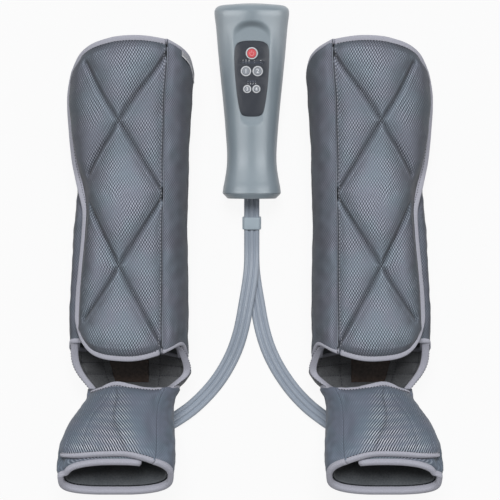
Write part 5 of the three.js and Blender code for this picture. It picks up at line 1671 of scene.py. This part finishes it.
def turned(name, profile, place, sides=56, flat=1.0, upright=True):
    """A closed turned form; profile gives its radius and its distance along the axis."""
    turn = np.linspace(0, math.tau, sides, endpoint=False)
    r, h = np.array(profile, float).T
    x = r[:, None] * np.cos(turn)
    y = flat * r[:, None] * np.sin(turn)
    h = np.broadcast_to(h[:, None], x.shape)
    rings = np.stack([x, y, h] if upright else [x, h, y], -1)
    return swept_tape(name, place(rings))


def prisms(outlines, low, high, place):
    """Closed prisms that cut holes, one for each outline."""
    points, faces = [], []
    for outline in outlines:
        outline = np.asarray(outline, float)
        count, first = len(outline), len(points)
        for level in (low, high):
            points += [tuple(p) + (level,) for p in outline]
        foot, top = np.arange(first, first + count), np.arange(first + count, first + 2 * count)
        faces += [tuple(foot[::-1]), tuple(top)]
        faces += list(zip(foot, np.roll(foot, -1), np.roll(top, -1), top))
    return mesh_piece("cutter", place(np.array(points)), faces, smooth_faces=False)


def cut(piece, cutter, use_self=False):
    """Cuts a closed form out of a piece."""
    modifier = piece.modifiers.new("cut", "BOOLEAN")
    modifier.object = cutter
    modifier.solver = "EXACT"
    modifier.use_self = use_self
    whole = finished_mesh(piece)
    piece.modifiers.clear()
    piece.data = whole
    bpy.data.objects.remove(cutter)
    return piece


def crisp(piece, degrees=32):
    """Keeps the edges sharp where two faces meet at more than an angle."""
    piece.data.set_sharp_from_angle(angle=math.radians(degrees))
    return piece


def circle(x, y, radius, sides=48):
    turn = np.linspace(0, math.tau, sides, endpoint=False)
    return np.stack([x + radius * np.cos(turn), y + radius * np.sin(turn)], -1)


def rectangle(x, y, half_width, half_height):
    corners = ((-1, -1), (1, -1), (1, 1), (-1, 1))
    return [(x + across * half_width, y + up * half_height) for across, up in corners]


def drawn_in(outline, distance):
    """A closed outline moved inwards, or outwards where the distance is negative."""
    return outline - rightwards(closed_runs(outline)) * distance


def inside_distance(points, outline):
    """Distance of points from a closed outline, positive inside it."""
    nearest = np.full(len(points), np.inf)
    inside = np.zeros(len(points), bool)
    for p, q in zip(outline, np.roll(outline, -1, 0)):
        run = q - p
        nearest = np.minimum(nearest, segment_distances(points, p, run))
        crosses = (p[1] > points[:, 1]) != (q[1] > points[:, 1])
        side = run[0] * (points[:, 1] - p[1]) / (run[1] if run[1] else 1e-9) + p[0]
        inside ^= crosses & (points[:, 0] < side)
    return np.where(inside, nearest, -nearest)


def shell_profile():
    """Radius and place along the barrel's side from the cap's seam to the crown."""
    stations = [(BARREL_WIDTHS[1] * BARREL_HALF_WIDTH, CAP_DEPTH)]
    for share, width in zip(BARREL_STATIONS[2:], BARREL_WIDTHS[2:]):
        stations.append((BARREL_HALF_WIDTH * width, BARREL_LENGTH * share))
    stations.append((-stations[-2][0], stations[-2][1]))
    line = smooth_route(stations, step=1.15)
    line = line[line[:, 0] > 0.2]
    return line[:, 0], line[:, 1]


def shell_grid(front):
    """The outer and inner faces of one half of the barrel, as far as the parting between the halves."""
    r, y = shell_profile()
    tip = np.arccos(np.clip(PARTING / (BARREL_DEPTH_SHARE * r), 0, 0.95))
    turn = tip[:, None] * np.linspace(-1, 1, 118)
    sign = 1 if front else -1

    def faces(radius, along):
        x = radius[:, None] * np.sin(turn)
        z = BARREL_DEPTH_SHARE * radius[:, None] * np.cos(turn)
        return np.stack([x, np.broadcast_to(along[:, None], x.shape), sign * np.maximum(z, PARTING)], -1)

    inner_r = r - BARREL_WALL * ease(r / 9)
    inner_y = np.minimum(y, BARREL_LENGTH - BARREL_WALL)
    return faces(r, y), faces(inner_r, inner_y)


def front_shell():
    """The front half of the barrel, with its flat face and the panel's seat cut through it."""
    skin, back = shell_grid(True)
    outline = smooth_route(FACE_OUTLINE, closed=True, step=1.5)
    for grid, drop, reach, width in ((skin, 0, 4.2, 7.2), (back, TRAY, 2.6, 1.6)):
        across_up = np.stack([grid[..., 0], (grid[..., 1] - FACE_Y) / math.cos(FACE_TURN)], -1)
        distance = inside_distance(across_up.reshape(-1, 2), outline).reshape(grid.shape[:2])
        level = FACE_Z + FACE_SLOPE * (grid[..., 1] - FACE_Y) - drop
        z = grid[..., 2]
        grid[..., 2] = z + ease((distance + reach) / width) * (np.minimum(z, level) - z)
    shell = closed_sheet("controller_front_shell", from_barrel(skin), from_barrel(back))
    seat = drawn_in(smooth_route(PANEL_OUTLINE, closed=True, step=1.0), -0.3)
    cut(shell, prisms([seat], -1.4, 12, from_face))
    return dress(crisp(shell), HOUSING, "housing", "base", ["front_shell"])


def joined(piece, others):
    """Joins other closed bodies into one piece's mesh."""
    form = bmesh.new()
    for other in [piece] + others:
        form.from_mesh(other.data)
    form.to_mesh(piece.data)
    form.free()
    for other in others:
        bpy.data.objects.remove(other)
    return piece


def screw_boss(y, deep):
    """A boss inside the rear shell, from its open mouth to the seat of the screw's head and the tip."""
    profile = [(3.0, deep), (4.4, deep), (4.4, -8.0), (1.8, -8.0), (1.8, -13.3), (3.0, -13.3)]
    turn = np.linspace(0, math.tau, 40, endpoint=False)
    rings = np.array([[(r * math.cos(t), y + r * math.sin(t), h) for r, h in profile] for t in turn])
    return swept_tape("boss", from_barrel(rings), closed=True)


def rear_shell():
    """The rear half of the barrel, with two screw bosses inside holes through its wall."""
    skin, back = shell_grid(False)
    shell = closed_sheet("controller_rear_shell", from_barrel(skin), from_barrel(back))
    cut(shell, prisms([circle(0, y, 3.0) for y in SCREW_DEPTHS], -40, -12, from_barrel))
    joined(shell, [screw_boss(y, deep) for y, deep in SCREW_DEPTHS.items()])
    return dress(crisp(shell), HOUSING, "housing", "base", ["rear_shell"])


def base_cap():
    """The cap at the controller's lower end, with the hoses' opening and the power inlet."""
    profile = [
        (0.1, 0), (24.0, 0), (24.5, 0.12), (24.95, 0.5), (29.15, 4.85), (29.3, 5.1), (29.25, 5.3),
        (26.6, 5.3), (26.4, 9.2), (0.1, 9.2),
    ]
    cap = turned("controller_base_cap", profile, from_barrel, 96, BARREL_DEPTH_SHARE, upright=False)
    opening = smooth_route([
        (-8.1, -12), (-6.6, -15.0), (0, -15.4), (6.6, -15.0), (8.1, -12),
        (8.1, -7.2), (6.6, -4.2), (0, -3.8), (-6.6, -4.2), (-8.1, -7.2),
    ], closed=True, step=1.0)
    cut(cap, prisms([opening, circle(0, JACK_HEIGHT, 4.9)], -5, 20, from_below))
    dress(crisp(cap), HOUSING, "housing", "base", ["base_cap"])
    profile = [
        (0.05, 2.2), (0.9, 2.2), (1.1, 2.6), (1.1, 6.5), (3.2, 6.5), (3.2, 0.2), (3.4, 0), (4.4, 0),
        (4.6, 0.2), (4.6, 9.0), (0.05, 9.0),
    ]
    socket = turned("power_inlet_jack", profile, about(from_barrel, 0, 0, JACK_HEIGHT), 40, upright=False)
    dress(crisp(socket), INNER_PLASTIC, "inner_plastic", "base", ["power_jack"])


def plate(name, outline, levels):
    """A thin plate on the controller's face; levels give its edge's inset and height, from its foot up."""
    rings = []
    for inset, height in levels:
        ring = drawn_in(outline, inset)
        rings.append(np.concatenate([ring, np.full((len(ring), 1), height)], 1))
    return swept_tape(name, from_face(np.array(rings)))


def control_panel():
    """The dark film on the face, with holes for the buttons and the status windows."""
    outline = smooth_route(PANEL_OUTLINE, closed=True, step=0.9)
    levels = [(0.0, -1.1), (0.0, 0.2), (0.06, 0.34), (0.18, 0.44), (0.36, PANEL_STAND)]
    panel = plate("control_panel_film", outline, levels)
    holes = [circle(across, up, radius + 0.3) for across, up, radius in BUTTONS.values()]
    holes += [rectangle(0, up, half_width + 0.3, 1.2) for up, half_width, _ in STATUS_WINDOWS.values()]
    cut(panel, prisms(holes, -4, 4, from_face))
    dress(crisp(panel), PANEL, "panel_film", "base", ["control_panel"])


def push_button(name, across, up, radius):
    """A button with a pale rim, a dark groove inside it and a crowned centre, on its stem."""
    top = PANEL_STAND + 1.1
    edge, groove = radius - 1.25, radius - 1.5
    profile = [
        (0.05, -4.6), (1.5, -4.6), (1.5, -0.5), (radius, -0.5), (radius, top - 0.6),
        (radius - 0.08, top - 0.35), (radius - 0.28, top - 0.16), (radius - 0.55, top - 0.1),
        (edge, top - 0.16), (edge - 0.06, top - 0.45),
        (groove, top - 0.45), (groove - 0.1, top - 0.2), (groove - 0.4, top - 0.1),
        (groove * 0.6, top - 0.03), (groove * 0.3, top), (0.05, top),
    ]
    sides = 56
    cap = turned(f"{name}_cap", profile, about(from_face, across, up, 0), sides)
    power = name == "power_button"
    for finish in (BUTTON_RIM, PANEL, POWER_RED if power else BUTTON_CENTRE):
        cap.data.materials.append(finish)
    bands = [0] * 8 + [1] * 3 + [2] * 4
    finish_numbers = [band for band in bands for _ in range(sides)] + [0, 2]
    cap.data.polygons.foreach_set("material_index", finish_numbers)
    crisp(cap)
    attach(cap, name)
    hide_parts(name)


def raised_mark(name, text, size, place, slot, body, thickness=0.06):
    """A small raised numeral on the controller's face, at a place across, up and out of it."""
    curve = bpy.data.curves.new(name, "FONT")
    curve.body = text
    curve.size = size
    curve.align_x = "CENTER"
    curve.align_y = "CENTER"
    curve.extrude = thickness / 2
    curve.offset = size * 0.018
    stand_in = add_object(name + "_outline", curve)
    mesh = finished_mesh(stand_in)
    bpy.data.objects.remove(stand_in)
    points = np.array([v.co for v in mesh.vertices]) + np.array(place)
    mesh.vertices.foreach_set("co", from_face(points).ravel())
    mesh.materials.clear()
    mesh.name = name
    return dress(add_object(name, mesh), BUTTON_MARK, slot, body)


def power_symbol():
    """A ring with a gap at its top and an upright bar in the gap."""
    turn = np.radians(np.linspace(125, 415, 40))
    c, s = np.cos(turn), np.sin(turn)
    low, high = 1.5, 1.64
    rings = np.zeros((40, 4, 3))
    for k, (r, h) in enumerate(((1.75, low), (2.35, low), (2.35, high), (1.75, high))):
        rings[:, k] = np.stack([r * c, 25.0 + r * s, np.full(40, h)], -1)
    ring = swept_tape("power_mark", from_face(rings))
    bar = prisms([rectangle(0, 26.9, 0.32, 1.15)], low, high, from_face)
    joined(ring, [bar])
    dress(crisp(ring), POWER_MARK, "power_button", "power_button")


def window_outline(up, half_width):
    """A bar across the controller's face with its corners cut off and drawn round."""
    half_height, corner = 0.9, 0.4
    right = [
        (half_width - corner, up - half_height), (half_width, up - 0.5),
        (half_width, up + 0.5), (half_width - corner, up + half_height),
    ]
    left = [(-x, y) for x, y in right[::-1]]
    return smooth_route(left[2:] + right + left[:2], closed=True, step=0.5)


def status_lights():
    """The two smoked windows, the lamps under them and the plain marks beside them."""
    for name, (up, half_width, lamps) in STATUS_WINDOWS.items():
        levels = ((0.0, -1.1), (0.0, 0.3), (0.1, 0.42), (0.25, 0.46))
        window = plate(f"{name}_status_light_guide", window_outline(up, half_width), levels)
        dress(crisp(window), SMOKED, "status_window", "base", [f"{name}_status_window"])
        for k, across in enumerate(lamps):
            profile = [(0.5, 0.3), (0.5, 0.48), (0.4, 0.55), (0.2, 0.6), (0.03, 0.61)]
            lens = turned(f"{name}_status_lens_{k + 1}", profile, about(from_face, across, up - 0.15, 0), 16)
            dress(lens, LENS, "status_window", "base")
    level = PANEL_STAND + 0.02
    for name, (text, size, up) in SCALE_MARKS.items():
        for k, (letter, across) in enumerate(zip(text, STATUS_WINDOWS[name][2])):
            raised_mark(f"{name}_scale_mark_{k + 1}", letter, size, (across, up, level), "button", "base")


def shell_screws():
    """The two screws in the rear shell's bosses, each with a cross in its head."""
    profile = [
        (0.1, -15.8), (1.9, -15.8), (2.5, -15.5), (2.7, -15.0), (2.7, -13.6), (1.5, -13.6), (1.5, -0.4),
        (0.9, 0), (0.1, 0),
    ]
    for k, y in enumerate(SCREW_DEPTHS):
        screw = turned(f"cross_screw_{k + 1}", profile, about(from_barrel, 0, y, 0), 32)
        cross = prisms([rectangle(0, y, 1.7, 0.3), rectangle(0, y, 0.3, 1.7)], -17, -14.7, from_barrel)
        cut(screw, cross, use_self=True)
        dress(crisp(screw), STEEL, "steel", "base", [f"shell_screw_{k + 1}"])


def build_controller():
    front_shell()
    rear_shell()
    base_cap()
    control_panel()
    for name, (across, up, radius) in BUTTONS.items():
        push_button(name, across, up, radius)
    power_symbol()
    for number, name in enumerate(list(BUTTONS)[1:], 1):
        across, up, radius = BUTTONS[name]
        mark = name.replace("button", "numeral")
        raised_mark(mark, str(number), radius * 1.15, (across, up, 1.58), "button", name, 0.12)
    status_lights()
    shell_screws()
    for name, finish in INNER_FINISHES.items():
        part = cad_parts[name]
        part.data.materials.clear()
        part.data.materials.append(finish)


build_controller()


# Stage

WHITE = (1, 1, 1, 1)
TABLE_TOP = -0.0004
TABLE_HALF_WIDTH = 3
STRIP_SIZE = (0.6, 3.4)
STRIP_X = 1.75
STRIP_PLACE = (0.15, 1.3)
STRIP_AIM = (0, 0, 0.03)


def pale_table():
    """The table top, seen as a little brighter than it is lit, so that it meets the white background."""
    material = bpy.data.materials.new("pale table")
    material.use_nodes = True
    n = Nodes(material.node_tree)
    shader = material.node_tree.nodes["Principled BSDF"]
    shader.inputs["Base Color"].default_value = rgb(212, 212, 214)
    shader.inputs["Roughness"].default_value = 0.9
    glow = n.add("ShaderNodeEmission", {"Color": WHITE, "Strength": 1.0}).outputs["Emission"]
    path = n.add("ShaderNodeLightPath").outputs
    seen = n.math("MAXIMUM", path["Is Glossy Ray"], path["Is Transmission Ray"])
    seen = n.math("MAXIMUM", path["Is Camera Ray"], seen)
    mixed = n.add("ShaderNodeMixShader", {"Fac": n.math("MULTIPLY", seen, 0.92)})
    n.feed(mixed.inputs[1], shader.outputs["BSDF"])
    n.feed(mixed.inputs[2], glow)
    n.feed(material.node_tree.nodes["Material Output"].inputs["Surface"], mixed.outputs["Shader"])
    mesh = bpy.data.meshes.new("table_top")
    corners = rectangle(0, 0, TABLE_HALF_WIDTH, TABLE_HALF_WIDTH)
    mesh.from_pydata([(x, y, TABLE_TOP) for x, y in corners], [], [(0, 1, 2, 3)])
    mesh.materials.append(material)
    add_object("table_top", mesh)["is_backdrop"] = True


def studio_air():
    """A white background for the camera and a faint even light on everything else."""
    world = bpy.data.worlds.new("studio air")
    scene.world = world
    world.use_nodes = True
    n = Nodes(world.node_tree)
    background = world.node_tree.nodes["Background"]
    background.inputs["Color"].default_value = WHITE
    background.inputs["Strength"].default_value = 0.2
    white = n.add("ShaderNodeBackground", {"Color": WHITE, "Strength": 1.0}).outputs["Background"]
    mixed = n.add("ShaderNodeMixShader", {"Fac": n.add("ShaderNodeLightPath").outputs["Is Camera Ray"]})
    n.feed(mixed.inputs[1], background.outputs["Background"])
    n.feed(mixed.inputs[2], white)
    n.feed(world.node_tree.nodes["World Output"].inputs["Surface"], mixed.outputs["Shader"])


def build_lamps():
    """A wide soft light from the window's side, and two long strips that only shiny faces show."""
    sun = bpy.data.lights.new("window light", "SUN")
    sun.energy = 2.35
    sun.angle = math.radians(26)
    lamp = add_object("window light", sun)
    lamp.rotation_euler = (math.radians(-24), 0, 0)
    lamp.visible_glossy = False
    for name, x in (("left strip", -STRIP_X), ("right strip", STRIP_X)):
        light = bpy.data.lights.new(name, "AREA")
        light.shape = "RECTANGLE"
        light.size, light.size_y = STRIP_SIZE
        light.energy = 34.0
        lamp = add_object(name, light)
        lamp.location = (x, *STRIP_PLACE)
        aim = Vector(STRIP_AIM) - lamp.location
        lamp.rotation_euler = aim.to_track_quat("-Z", "Y").to_euler()
        lamp.visible_diffuse = False


pale_table()
studio_air()
build_lamps()
scene.view_settings.view_transform = "Standard"


def write_sizes():
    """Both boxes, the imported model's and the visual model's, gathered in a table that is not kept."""
    box = lambda pair: [[float(v) for v in corner] for corner in pair]
    {"cad": box(cad_box), "visual": box(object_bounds())}


write_sizes()
